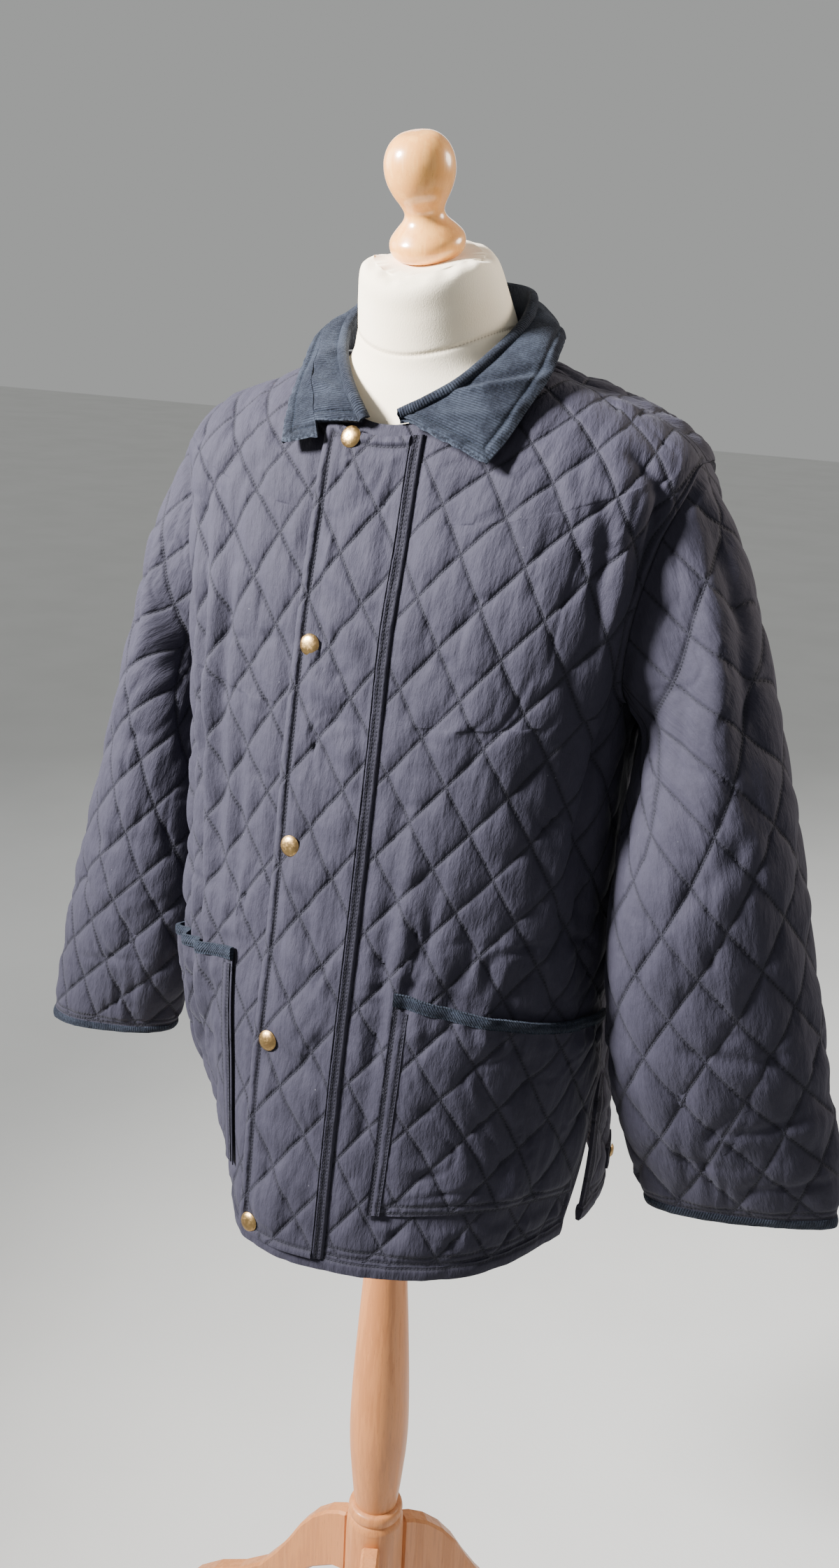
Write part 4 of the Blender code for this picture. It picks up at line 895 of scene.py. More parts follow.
def form_finish():
    """Cream jersey over the padded form, stitched along the neck's seam, with painted shade in the seam's
    dip.
    """
    finish = Finish("cream_form_cloth", Roughness=0.9, Sheen_Weight=0.1)
    place = finish.place()
    _, distance, along = finish.uv("edge")
    patches = finish.between(finish.noise(place, 14.0, 3.0), 0.3, 0.7)
    colour = finish.mix(patches, CREAM, CREAM_LIGHT)
    thread, dip = stitch_line(finish, finish.math("ABSOLUTE", distance), along)
    # Painted shade: the jersey is darkened in the seam's dip.
    colour = finish.mix(finish.times(dip, 0.20), colour, CREAM_DIP_SHADE)
    colour = finish.mix(finish.times(thread, 0.5), colour, CREAM_THREAD)
    finish.put("Base Color", colour)
    knit = finish.noise(finish.scaled(place, 1.0, 1.0, 0.6), 1100.0, 2.0, 0.6)
    finish.bump(knit, 0.0003, 0.55)
    finish.bump(finish.times(dip, -1.0), 0.0012, 0.8)
    return finish.material


def beech_finish(name, light, dark, roughness, coat):
    """Beech with its grain along the height and the short dark flecks of the wood."""
    finish = Finish(name)
    place = finish.place()
    stretched = finish.scaled(place, 1.0, 1.0, GRAIN_STRETCH)
    bend = finish.noise(finish.scaled(place, 1.0, 1.0, 0.3), 12.0, 2.0)
    grain = finish.noise(stretched, 190.0, 4.0, 0.6)
    rings = finish.math("SINE", finish.times(finish.sum(grain, finish.times(bend, 2.0)), 17.0))
    colour = finish.mix(finish.between(rings, -1.0, 1.0, 0.15, 0.65), light, dark)
    fleck = finish.between(finish.noise(stretched, 1500.0, 2.0, 0.6), 0.62, 0.72)
    colour = finish.mix(finish.times(fleck, 0.45), colour, tuple(0.5 * part for part in dark))
    finish.put("Base Color", colour)
    finish.put("Roughness", finish.between(grain, 0.3, 0.7, roughness * 0.85, roughness * 1.2))
    finish.put("Coat Weight", coat)
    finish.put("Coat Roughness", 0.12)
    finish.bump(fleck, 0.00015, -0.5)
    finish.bump(grain, 0.0003, 0.35)
    return finish.material


def floor_finish():
    finish = Finish("pale_floor", Roughness=0.85)
    place = finish.place()
    tone = finish.between(finish.noise(place, 2.5, 4.0), 0.3, 0.7)
    finish.put("Base Color", finish.mix(tone, FLOOR_DARK, FLOOR_LIGHT))
    finish.bump(finish.noise(place, 180.0, 3.0), 0.0006, 0.3)
    return finish.material


# ---------------------------------------------------------------- garment pieces
# How the quilting lies on the front: across and up the cut, from across and up the surface.
QUILT_SHIFT = {"front": (-0.114, -0.131), "back": (0.0, 0.010), "sleeve": (0.017, 0.029),
               "flap": (0.018, 0.004), "pocket": (-0.114, -0.131)}
FRONT_ACROSS = (1.03, -0.04, -0.33, -0.10, -0.18)
FRONT_UP = (-0.06, 1.07, -0.30, 1.12, -0.30)
FRONT_LOW = -0.25        # below this height and beyond this width the quilting lies straight on
FRONT_WIDE = 0.19
TOPSTITCH = (0.0022, 0.0085)
FLAP_STITCH = 0.0080
WELT_LIE = 0.0005        # the welt's outer edge all but touches the front
STRIP_FROM_EDGE = 0.0019
STRIP_LOOK = 0.0011      # thickness of the folded strip along the pocket's front edge
POCKET_THIN = 0.0018     # how much the pocket's edges are pressed down
BAND_ROW = float(row_at_height(BODY_RINGS[0][1] + BAND))
BAND_ROWS = np.linspace(0.0, BAND_ROW, 7)
BINDING_BULGE = 0.0008
MITRE_REACH = 0.016      # from the armhole, where the inside turns to meet its neighbour
WANDER = 0.0016          # how far the quilting lines stray
SEAM_RISE = 0.0018       # ridges between an edge and its topstitching, on each kind of piece
FLAP_RISE = 0.0017
COLLAR_RISE = 0.0006
POCKET_SEAM_RISE = 0.0007
TAB_RISE = 0.0005
TAB_STITCH = 0.003
GATHER_RISE = 0.0011     # of a pocket's cloth under its binding, and the pitch of the gathers
GATHER_PITCH = 0.0175
POCKET_PUFF = PUFF * 0.8


def front_quilting(across, up, shift):
    """Across and up the cut of a front, from distances over its surface."""
    bent_up = np.maximum(up, FRONT_LOW)
    bent_across = np.minimum(across, FRONT_WIDE)
    terms = (across, up, bent_across * bent_up, bent_across ** 2, bent_up ** 2)
    return [start + sum(factor * term for factor, term in zip(factors, terms))
            for start, factors in zip(shift, (FRONT_ACROSS, FRONT_UP))]


def panel_rows():
    """Rows of a panel from its binding up: below, along and above the armhole."""
    low = np.linspace(BAND_ROW, ROW_PIT, count(0.43))
    hole = ARMHOLE_MIDDLE - ARMHOLE_HALF * np.cos(np.linspace(0.0, pi, count(0.26)))
    high = np.linspace(ROW_SHOULDER, ROW_NECK, count(0.15))
    return np.concatenate([low[:-1], hole, high[1:]])


def side_azimuth(rows, front):
    """Azimuth of a panel's side edge: side seam with its vent, armhole, shoulder seam."""
    inside = np.clip(1 - ((rows - ARMHOLE_MIDDLE) / ARMHOLE_HALF) ** 2, 0.0, 1.0)
    vent_row = float(row_at_height(VENT_TOP, 90.0))
    vent = np.clip((vent_row - rows) / vent_row, 0.0, 1.0)
    if front:
        return 90.0 - ARMHOLE_FRONT * np.sqrt(inside) - VENT_FRONT * vent ** 0.75
    return 90.0 + ARMHOLE_BACK * np.sqrt(inside) - VENT_BACK * vent


def panel_azimuths(side, front, rows, columns):
    start = 0.0 if front else 180.0
    share = np.linspace(0.0, 1.0, columns)
    edge = side_azimuth(rows, front)
    return mirror_of(side) * (start + (edge - start)[:, None] * share[None, :])


def covered(side, azimuth, row):
    """Share 0..1 of a front's wadding that is free of the flap, the pocket and the collar."""
    points = body(azimuth, row)
    x, z = points[..., 0], points[..., 2]
    seam_x = FLAP_LEFT + WELT_WIDTH
    flap_free = np.maximum(smooth_step(seam_x + 0.001, seam_x + 0.012, x),
                           smooth_step(FLAP_RIGHT - 0.002, FLAP_RIGHT - 0.013, x))
    pocket_x = min(POCKET_FRONT_X[side]) - 0.002
    share = np.clip((np.abs(azimuth) - 22) / 50, 0, 1)
    mouth = POCKET_MOUTH[0] + (POCKET_MOUTH[1] - POCKET_MOUTH[0]) * share + POCKET_BINDING + 0.004
    bottom = POCKET_BOTTOM[0] + (POCKET_BOTTOM[1] - POCKET_BOTTOM[0]) * share - 0.001
    above_or_below = np.maximum(smooth_step(mouth, mouth + 0.012, z), smooth_step(bottom, bottom - 0.010, z))
    beside = np.maximum(smooth_step(pocket_x, pocket_x - 0.010, np.abs(x)), above_or_below)
    collar = smooth_step(11.9, 10.9, row)
    return flap_free * beside * (0.25 + 0.75 * collar)


def panel_half(side, front, rows, columns):
    """Outer and inner grid, smooth grid, cloth UVs and edge UVs of a front or of half a back."""
    azimuths = panel_azimuths(side, front, rows, columns)
    level = np.broadcast_to(rows[:, None], azimuths.shape)
    smooth = body(azimuths, level)
    pit = int(np.argmin(np.abs(rows - ROW_PIT)))
    across, up = spans(smooth, pit)
    if front:
        cloth = front_quilting(across, up, QUILT_SHIFT["front"])
    else:
        cloth = [across + QUILT_SHIFT["back"][0], up + QUILT_SHIFT["back"][1]]
    wander = WANDER * noise(smooth / 0.055 + 11, 21)
    cloth = [cloth[0] + wander, cloth[1] - wander]
    to_side, to_top, to_hem = across[:, -1:] - across, up[-1:] - up, up - up[:1]
    in_hole = (level > ROW_PIT - 0.02) & (level < ROW_SHOULDER + 0.02)
    in_vent = body(azimuths[:, -1:], level[:, -1:])[..., 2] < VENT_TOP
    stitched = np.where(in_hole | in_vent, 0.0, 1.0)
    edge = nearest_edge((to_side + stitched, up), (to_hem, across))
    inside = np.minimum(np.minimum(to_side, to_top), to_hem)
    free = covered(side, azimuths, level) if front else 1.0
    height = relief(*cloth, inside, 31 if front else 41) * free
    height += seam_ridge(to_side, TOPSTITCH[1], SEAM_RISE) * (1 - stitched) * np.minimum(free + 0.2, 1)
    outer = lifted(azimuths, level, height)
    inner = lifted(azimuths, level, -WALL - 0.25 * (height - seam_ridge(inside, 0.01, 0.0)))
    hole = np.flatnonzero((rows >= ROW_PIT) & (rows <= ROW_SHOULDER))
    theta = np.arccos(np.clip((rows[hole] - ARMHOLE_MIDDLE) / ARMHOLE_HALF, -1, 1))
    inward = armhole_inward(side, theta if front else -theta)
    seam = body(azimuths[hole, -1], rows[hole])
    outer[hole, -1] = seam
    mitre = seam + inward * WALL - inner[hole, -1]
    near = smooth_step(MITRE_REACH, 0.0, to_side[hole])
    inner[hole] += mitre[:, None] * near[..., None]
    return outer, inner, smooth, pair(*cloth), edge


def bound_lift(up, pucker):
    """Height of a bound edge over the quilted cloth: rounded and puckered."""
    share = up / np.maximum(up[-1:], 1e-6)
    return BINDING_EXTRA + BINDING_BULGE * np.sin(pi * share) + pucker


def bind_hem(node, azimuths, plain):
    """The binding along the hem of a panel."""
    level = np.broadcast_to(BAND_ROWS[:, None], azimuths.shape)
    smooth = body(azimuths, level)
    across, up = spans(smooth)
    lift = bound_lift(up, 0.0008 * noise_at(across / 0.007 + 5, up / 0.012 + 5, 5.0, 51))
    outer, inner = lifted(azimuths, level, lift), lifted(azimuths, level, -WALL - lift)
    grids = outer, inner, smooth, pair(across, up), nearest_edge((up, across))
    sew("cloth", node, grids, plain)


def make_fronts(quilted, plain):
    """Both fronts and the bindings of their hems."""
    rows = panel_rows()
    columns = count(0.268)
    for side in SIDES:
        sew("cloth", "front_" + side, panel_half(side, True, rows, columns), quilted)
        azimuths = panel_azimuths(side, True, BAND_ROWS, columns)
        bind_hem("hem_binding_front_" + side, azimuths, plain)


def join_halves(left, right, sign=1):
    """One grid across the back from its two half grids, which share the centre back."""
    return np.concatenate([left[:, ::-1], right[:, 1:] * sign], axis=1)


def make_back(quilted, plain):
    """The back, from two half grids, and the binding of its hem."""
    rows = panel_rows()
    columns = count(0.262)
    signs = 1, 1, 1, np.array([-1, 1]), 1     # the cloth is measured across from the centre back
    halves = [panel_half(side, False, rows, columns) for side in SIDES]
    grids = [join_halves(*grid_halves, sign) for *grid_halves, sign in zip(*halves, signs)]
    sew("cloth", "back", grids, quilted)
    azimuths = join_halves(*(panel_azimuths(side, False, BAND_ROWS, columns) % 360 for side in SIDES))
    bind_hem("hem_binding_back", (azimuths + 180) % 360 - 180, plain)


# Named folds of the sleeves: start and end as (angle in degrees, station), width and rise.
SLEEVE_ROUND = 0.0011    # metres around the sleeve per degree
SLEEVE_STEP = 0.075      # metres along it per station
SLEEVE_FOLDS = {
    "left": (
        ((35, 0.3), (62, 3.0), 0.013, -0.0062), ((62, 0.3), (92, 2.8), 0.013, 0.0040),
        ((95, 0.5), (120, 2.4), 0.011, -0.0048), ((10, 0.6), (28, 3.4), 0.012, 0.0030),
        ((120, 1.2), (105, 3.6), 0.011, -0.0035), ((60, 3.2), (130, 3.9), 0.010, -0.0028),
        ((150, 4.4), (95, 4.9), 0.008, -0.0026), ((60, 5.6), (120, 5.3), 0.006, -0.0024),
        ((30, 6.3), (100, 6.5), 0.006, -0.0026), ((90, 7.0), (160, 6.8), 0.006, -0.0026),
        ((20, 7.25), (85, 7.35), 0.005, -0.0022), ((-60, 1.0), (-80, 3.2), 0.012, -0.0040),
        ((-120, 3.8), (-40, 4.3), 0.010, -0.0032), ((-140, 5.4), (-60, 5.9), 0.008, -0.0028),
        ((-30, 6.7), (-110, 6.9), 0.007, -0.0026),
    ),
    "right": (
        ((50, 0.5), (80, 2.4), 0.012, -0.0040), ((100, 1.4), (70, 3.4), 0.012, 0.0026),
        ((120, 3.0), (60, 3.8), 0.010, -0.0032), ((140, 4.4), (70, 4.9), 0.008, -0.0030),
        ((40, 5.4), (110, 5.9), 0.007, -0.0028), ((140, 6.3), (70, 6.8), 0.006, -0.0024),
        ((-50, 0.9), (-75, 3.1), 0.012, -0.0038), ((-130, 3.6), (-50, 4.4), 0.010, -0.0032),
        ((-140, 5.2), (-50, 5.8), 0.008, -0.0028), ((-30, 6.6), (-120, 6.9), 0.007, -0.0024),
    ),
}


def sleeve_folds(side, theta, station, points):
    height = 0.0018 * noise(points / np.array([0.060, 0.060, 0.080]) + 4, 61)
    height += 0.0017 * noise(points / np.array([0.050, 0.050, 0.022]) + 9, 62) * smooth_step(2.5, 6, station)
    height = with_folds(height, np.degrees(theta), station, SLEEVE_FOLDS[side], (SLEEVE_ROUND, SLEEVE_STEP))
    body_side = smooth_step(0.4, -0.8, np.cos(theta))
    return height * smooth_step(0.0, 0.4, station) * (1 - 0.7 * body_side)


def sleeve_lifted(side, theta, station, lift):
    surface = sleeve_surface(side)
    points = surface(theta, station)
    height = sleeve_folds(side, theta, station, points) + lift
    return points + sleeve_normal(side, theta, station) * height[..., None]


def straightened(smooth, theta, station, front, quarter):
    """Lengths around and down a sleeve; towards the armhole they keep to the cloth's straight grain."""
    around, down = spans(smooth, quarter, front)
    back = smooth.shape[1] - 1 - front
    ring = smooth[quarter]
    outward = unit(ring[(front + back) // 2] - ring[0])
    for column, sign in ((front, 1), (back, -1)):
        grain = unit(smooth[-1, column] - smooth[quarter // 2, column])
        away = smooth - ring[column]
        share = smooth_step(4.0, 0.6, station) * smooth_step(0.30, 0.75, sign * np.sin(theta))
        around = around + share * (around[quarter, column] - sign * away @ outward - around)
        down = down + share * (away @ grain - down)
    return around, down


def cuff_start(side):
    """Station where a sleeve's quilted cloth ends and its cuff binding begins."""
    surface = sleeve_surface(side)
    last_step = np.linalg.norm(surface(0.0, LAST_STATION) - surface(0.0, LAST_STATION - 1))
    return LAST_STATION - CUFF_BAND / last_step


def sleeve_grids(side, thetas):
    """Grids of a sleeve, mitred along its armhole."""
    near_hole = np.linspace(0.0, 0.5, 18)
    stations = np.concatenate([near_hole[:-1], np.linspace(0.5, cuff_start(side), count(0.54))])
    theta, station = np.meshgrid(thetas, stations)
    smooth = sleeve_surface(side)(theta, station)
    front = int(np.argmin(np.abs(thetas - pi / 2)))
    quarter = int(np.argmin(np.abs(stations - 4.0)))
    around, down = straightened(smooth, theta, station, front, quarter)
    shift = QUILT_SHIFT["sleeve"]
    wander = WANDER * noise(smooth / 0.05 + 17, 22)
    across = shift[0] - around - 0.07 * down + wander
    up = -shift[1] - 0.15 * around - 0.95 * down - wander
    to_hole = lengths(smooth, 0)
    to_cuff = to_hole[-1:] - to_hole
    height = relief(across, up, np.minimum(to_hole, to_cuff), 71)
    outer = sleeve_lifted(side, theta, station, height)
    inner = sleeve_lifted(side, theta, station, -WALL - 0.25 * height)
    outer[0] = smooth[0]
    mitre = smooth[0] + armhole_inward(side, thetas) * WALL - inner[0]
    inner += mitre[None] * smooth_step(MITRE_REACH, 0.0, to_hole)[..., None]
    return outer, inner, smooth, pair(across, up), nearest_edge((to_cuff, around))


def cuff_grids(side, thetas):
    """Grids of the binding around a cuff."""
    theta, station = np.meshgrid(thetas, np.linspace(cuff_start(side), LAST_STATION, 7))
    smooth = sleeve_surface(side)(theta, station)
    around, down = spans(smooth)
    lift = bound_lift(down, 0.0003 * noise_at(around / 0.006, down / 0.012, 0.0, 52))
    outer = sleeve_lifted(side, theta, station, lift)
    inner = sleeve_lifted(side, theta, station, -WALL - lift)
    for grid in (outer, inner):
        grid[:, -1] = grid[:, 0]
    return outer, inner, smooth, pair(around, down), nearest_edge((down[-1:] - down, around))


def make_sleeve(side, quilted, corduroy):
    thetas = np.linspace(-pi, pi, count(0.40))
    sew("cloth", "sleeve_" + side, sleeve_grids(side, thetas), quilted,
        closed=True)
    sew("corduroy", "cuff_binding_" + side, cuff_grids(side, thetas), corduroy,
        closed=True)


def collar_line(stations, place):
    """Middle surface of the collar at stations (-1 right end .. 1 left end) and one profile place."""
    along = (1 - np.abs(stations)) * (len(COLLAR_STATIONS["left"]) - 1)

    def table_row(at):
        left, right = (hermite(COLLAR_STATIONS[side], at) for side in SIDES)
        return np.where(stations[:, None] < 0, right, left)

    row = table_row(along)
    azimuth = row[:, 0]
    foot = body(azimuth, np.full_like(azimuth, ROW_NECK))
    roll, edge = row[:, 1:4], row[:, 4:7]
    step = 0.02
    tangent = unit(table_row(along + step)[:, 1:4] - table_row(along - step)[:, 1:4])
    reach = edge - roll
    outward = unit(reach - tangent * (reach * tangent).sum(-1, keepdims=True))
    upward = unit(np.cross(tangent, outward))
    upward *= np.where(upward[:, 2:3] < 0, -1.0, 1.0)
    if place <= ROLL_START:
        foot = foot + unit(roll - foot) * FOOT_GAP + FOOT_LIFT
        inside = roll - outward * ROLL_RADIUS - upward * ROLL_RADIUS
        points = foot + (inside - foot) * place / ROLL_START
    elif place <= ROLL_END:
        turn = pi * (place - ROLL_START) / (ROLL_END - ROLL_START)
        points = roll - upward * ROLL_RADIUS * (1 - sin(turn)) - outward * ROLL_RADIUS * cos(turn)
    else:
        share = (place - ROLL_END) / (1 - ROLL_END)
        start = roll + outward * ROLL_RADIUS - upward * ROLL_RADIUS
        bulge = unit(np.cross(tangent, reach))
        bulge *= np.where((bulge * upward).sum(-1, keepdims=True) < 0, -1.0, 1.0)
        points = start + (edge - start) * share + bulge * COLLAR_BULGE * 4 * share * (1 - share)
        points[:, 1] += END_SETTLE * share ** 0.7 * smooth_step(0.45, 0.95, np.abs(stations))
    points[:, 0] *= np.where(stations < 0, -1.0, 1.0)
    return points


def collar_surface(columns, profile):
    """Middle surface of the collar, its normals and its stations, a row for each place."""
    shares = np.linspace(0.0, 1.0, columns)
    rows, normals, stations = [], [], []
    for place in profile:
        to_corner = np.clip((place - ROLL_END) / (CORNER_PLACE - ROLL_END), 0.0, 1.0)
        cut = CUT_AT_ROLL + (CUT_AT_CORNER - CUT_AT_ROLL) * to_corner
        first = -1.0 + (cut if place <= CORNER_PLACE else 0.0)
        station = first + (1.0 - first) * shares
        rows.append(collar_line(station, place))
        along = collar_line(station + 0.004, place) - collar_line(station - 0.004, place)
        low, high = max(place - 0.01, 0.0), min(place + 0.01, 1.0)
        normals.append(unit(np.cross(collar_line(station, high) - collar_line(station, low), along)))
        stations.append(station)
    return np.array(rows), np.array(normals), np.array(stations)


COLLAR_STITCH = 0.0085
COLLAR_HALF = 0.25       # metres along the collar per unit of station, and down it per unit of profile
COLLAR_DEEP = 0.11
# Soft creases of the fall: start and end as (station, profile), width and rise.
COLLAR_FOLDS = (
    ((0.75, 0.46), (0.59, 0.98), 0.005, 0.0030), ((0.70, 0.50), (0.54, 0.98), 0.006, -0.0026),
    ((0.92, 0.50), (0.74, 0.95), 0.006, 0.0016),
    ((-0.80, 0.47), (-0.70, 0.85), 0.006, 0.0024), ((-0.72, 0.5), (-0.88, 0.9), 0.008, -0.0020),
    ((-0.58, 0.47), (-0.66, 0.80), 0.006, 0.0022),
    ((-0.35, 0.5), (-0.30, 0.9), 0.010, -0.0012), ((0.25, 0.5), (0.30, 0.9), 0.010, -0.0012),
)


def make_collar(corduroy):
    """The collar from its foot over the roll to its edge, stitched around the fall."""
    profile = np.concatenate([np.linspace(0, ROLL_START, 14)[:-1], np.linspace(ROLL_START, ROLL_END, 9)[:-1],
                              np.linspace(ROLL_END, CORNER_PLACE, 20),
                              np.linspace(CORNER_PLACE + 0.006, 1.0, 18)])
    middle, normal, station = collar_surface(241, profile)
    roll = int(np.argmin(np.abs(profile - ROLL_END)))
    half = int(np.argmin(np.abs(profile - 0.72)))
    across, down = spans(middle, roll)
    around = np.interp(station, station[half], across[half])
    to_edge = down[-1:] - down
    to_ends = np.minimum(across, across[:, -1:] - across)
    on_fall = (profile > ROLL_END + 0.01)[:, None]
    edge = nearest_edge((to_edge, around), (to_ends + np.where(on_fall, 0.0, 1.0), down))
    place = np.broadcast_to(profile[:, None], station.shape)
    fold = 0.0010 * noise(middle / 0.030 + 3, 81) + 0.0006 * noise(middle / 0.012 + 3, 82)
    fold = with_folds(fold, station, place, COLLAR_FOLDS, (COLLAR_HALF, COLLAR_DEEP))
    fold = fold * smooth_step(0.32, 0.5, place) * smooth_step(0.0, 0.006, np.minimum(to_edge, to_ends))
    pucker = 0.0006 * noise_at(edge[..., 1] / 0.005, edge[..., 0] / 0.012, 0.0, 83)
    band = (seam_ridge(edge[..., 0], COLLAR_STITCH, COLLAR_RISE) + pucker
            * smooth_step(COLLAR_STITCH + 0.003, COLLAR_STITCH - 0.002, edge[..., 0])) * on_fall
    facing = np.sign(normal[-1, :, 2].mean())
    outer = middle + normal * (facing * (COLLAR_WALL / 2 + fold + band))[..., None]
    inner = middle - normal * (facing * (COLLAR_WALL / 2 - np.minimum(fold, 0.0006)))[..., None]
    grids = outer, inner, middle, pair(around, down + 1), edge
    sew("corduroy", "collar", grids, corduroy)


def strip_grids(x_from, x_to, rows, columns):
    """Azimuths and rows of a strip of the front between two distances from the middle."""
    starts, ends = azimuth_at_x(x_from, rows), azimuth_at_x(x_to, rows)
    azimuths = starts[:, None] + (ends - starts)[:, None] * np.linspace(0, 1, columns)[None, :]
    return azimuths, np.broadcast_to(rows[:, None], azimuths.shape)


def flap_rows():
    """Rows of the flap and of its welt, from the hem end up."""
    top = row_at_height(BODY_RINGS[-1][1] - FLAP_TOP_DROP)
    bottom = row_at_height(BODY_RINGS[0][1] + FLAP_SHORT)
    return np.linspace(float(bottom), float(top), count(0.64))


def make_flap(cloth_of_flap):
    """The storm flap: quilted, stitched along its free edges and dragged into soft creases."""
    azimuths, level = strip_grids(FLAP_RIGHT, FLAP_LEFT, flap_rows(), 34)
    smooth = body(azimuths, level)
    across, up = spans(smooth)
    to_seam, to_top = across[:, -1:] - across, up[-1:] - up
    edge = nearest_edge((across, up), (to_top, across), (up + 0.0015, across))
    cloth = (across + QUILT_SHIFT["flap"][0] + 0.001 * noise(smooth / 0.04, 23), up + QUILT_SHIFT["flap"][1])
    inside = np.minimum(np.minimum(edge[..., 0] - FLAP_STITCH, to_seam), 1.0)
    height = relief(*cloth, np.maximum(inside, 0.0), 91)
    height += seam_ridge(edge[..., 0], FLAP_STITCH, FLAP_RISE)
    puckers = 0.0006 * noise_at(across / 0.02, up / 0.0045, 0.0, 92)
    height += puckers * smooth_step(0.010, 0.002, edge[..., 0])
    drags = 0.0032 * noise_at(across / 0.040 + 3, (up + 0.5 * across) / 0.016 + 3, 3.0, 94)
    height += drags * smooth_step(0.0, 0.012, inside)
    outer = lifted(azimuths, level, FLAP_LOW + FLAP_WALL + height)
    grids = outer, lifted(azimuths, level, FLAP_LOW), smooth, pair(*cloth), edge
    sew("cloth", "storm_flap", grids, cloth_of_flap)


def make_welt(cloth):
    """The welt beside the flap's sewn edge: two cords that fall off towards the left front."""
    start = FLAP_LEFT + SEAM_GAP
    azimuths, level = strip_grids(start, start + WELT_WIDTH, flap_rows(), 11)
    smooth = body(azimuths, level)
    across, up = spans(smooth)
    share = across / across[:, -1:]
    height = 0.0008 * np.abs(np.sin(2 * pi * share)) - 0.0010 - 0.0028 * share ** 1.5
    height = height + 0.0003 * noise_at(share * 2, up / 0.006, 0.0, 93)
    outer = lifted(azimuths, level, FLAP_LOW + FLAP_WALL + height)
    inner = lifted(azimuths, level, FLAP_LOW - (FLAP_LOW - WELT_LIE) * share)
    edge = nearest_edge((np.abs(across - WELT_WIDTH / 2), up))
    grids = outer, inner, smooth, pair(across, up), edge
    sew("cloth", "flap_welt", grids, cloth)


def set_snap(node, profile, segments, metal, azimuth, row, low):
    """A turned cap at a place of the cloth, low above the surface under its folds."""
    normal = body_normal(azimuth, row)
    place = body(azimuth, row) + normal * (low + body_folds(azimuth, row))
    turn = Vector(normal).to_track_quat("Z", "Y")
    settle(lathe("brass_" + node, profile, metal, segments, 5, place, turn), node)


def make_snaps(metal):
    for number, (x, height) in enumerate(SNAPS, 1):
        row = row_at_height(height, azimuth_at_x(x, row_at_height(height)))
        set_snap("snap_cap_%d" % number, SNAP_PROFILE, 64, metal, azimuth_at_x(x, row), row,
                 FLAP_LOW + FLAP_WALL + SEAM_GAP)


def pocket_places(side, across, up):
    """Azimuths and rows of a pocket at shares across (front to side) and up (bottom to mouth)."""
    mirror = mirror_of(side)
    share, lift = np.meshgrid(across, up)
    front_z = POCKET_BOTTOM[0] + (POCKET_MOUTH[0] - POCKET_BOTTOM[0]) * lift
    side_z = POCKET_BOTTOM[1] + (POCKET_MOUTH[1] - POCKET_BOTTOM[1]) * lift
    height = front_z + (side_z - front_z) * share
    height += POCKET_RISE * np.sin(pi * share) * np.clip(1 - lift, 0.0, 1.0)
    low_x, high_x = POCKET_FRONT_X[side]
    start = azimuth_at_x(mirror * (low_x + (high_x - low_x) * lift[:, 0]), row_at_height(front_z[:, 0]))
    end = mirror * (side_azimuth(row_at_height(side_z[:, 0], 80.0), True) - POCKET_INSET)
    azimuths = start[:, None] + (end - start)[:, None] * share
    return azimuths, row_at_height(height, azimuths)


POCKET_SHARES = np.linspace(0.0, 1.0, 76)
GAPE = POCKET_GAPE * np.sin(pi * POCKET_SHARES)[None, :]     # how far the mouth stands open


def pressed(distance):
    """How far the cloth of a pocket is pressed down near its edge."""
    return POCKET_THIN * smooth_step(0.013, 0.001, distance)


def pocket_bag(side):
    """Grids of a pocket's quilted cloth, gathered at the mouth."""
    lifts = np.linspace(0.0, 1.0, 66)
    azimuths, rows = pocket_places(side, POCKET_SHARES, lifts)
    smooth = body(azimuths, rows)
    across, up = spans(smooth)
    cloth = front_quilting(across + 0.06, up - 0.30, QUILT_SHIFT["pocket"])
    to_mouth, to_side = up[-1:] - up, across[:, -1:] - across
    edge = nearest_edge((across, up), (up, across), (to_side, up))
    strip_free = smooth_step(0.011, 0.020, across)
    height = relief(*cloth, np.minimum(edge[..., 0], to_mouth), 95, POCKET_PUFF) * strip_free
    gathers = np.cos(2 * pi * (across + 0.004 * noise(smooth / 0.02, 96)) / GATHER_PITCH)
    height += GATHER_RISE * gathers * smooth_step(0.030, 0.002, to_mouth) * strip_free
    height += seam_ridge(up, TOPSTITCH[1], POCKET_SEAM_RISE) * strip_free
    height -= pressed(edge[..., 0])
    low = POCKET_GAP[side] + GAPE * lifts[:, None] ** 3
    outer = lifted(azimuths, rows, low + POCKET_WALL + height)
    return outer, lifted(azimuths, rows, low), smooth, pair(*cloth), edge


def pocket_binding(side):
    """Grids of the binding over a pocket's mouth."""
    end = 1.0 + POCKET_BINDING / (POCKET_MOUTH[0] - POCKET_BOTTOM[0])
    azimuths, rows = pocket_places(side, POCKET_SHARES, np.linspace(1.0, end, 8))
    smooth = body(azimuths, rows)
    across, up = spans(smooth)
    low = POCKET_GAP[side] + GAPE
    lift = low + POCKET_WALL + BINDING_EXTRA + 0.0009 * np.sin(pi * up / up[-1:])
    edge = nearest_edge((np.minimum(up, up[-1:] - up), across))
    return lifted(azimuths, rows, lift), lifted(azimuths, rows, low), smooth, pair(across, up), edge


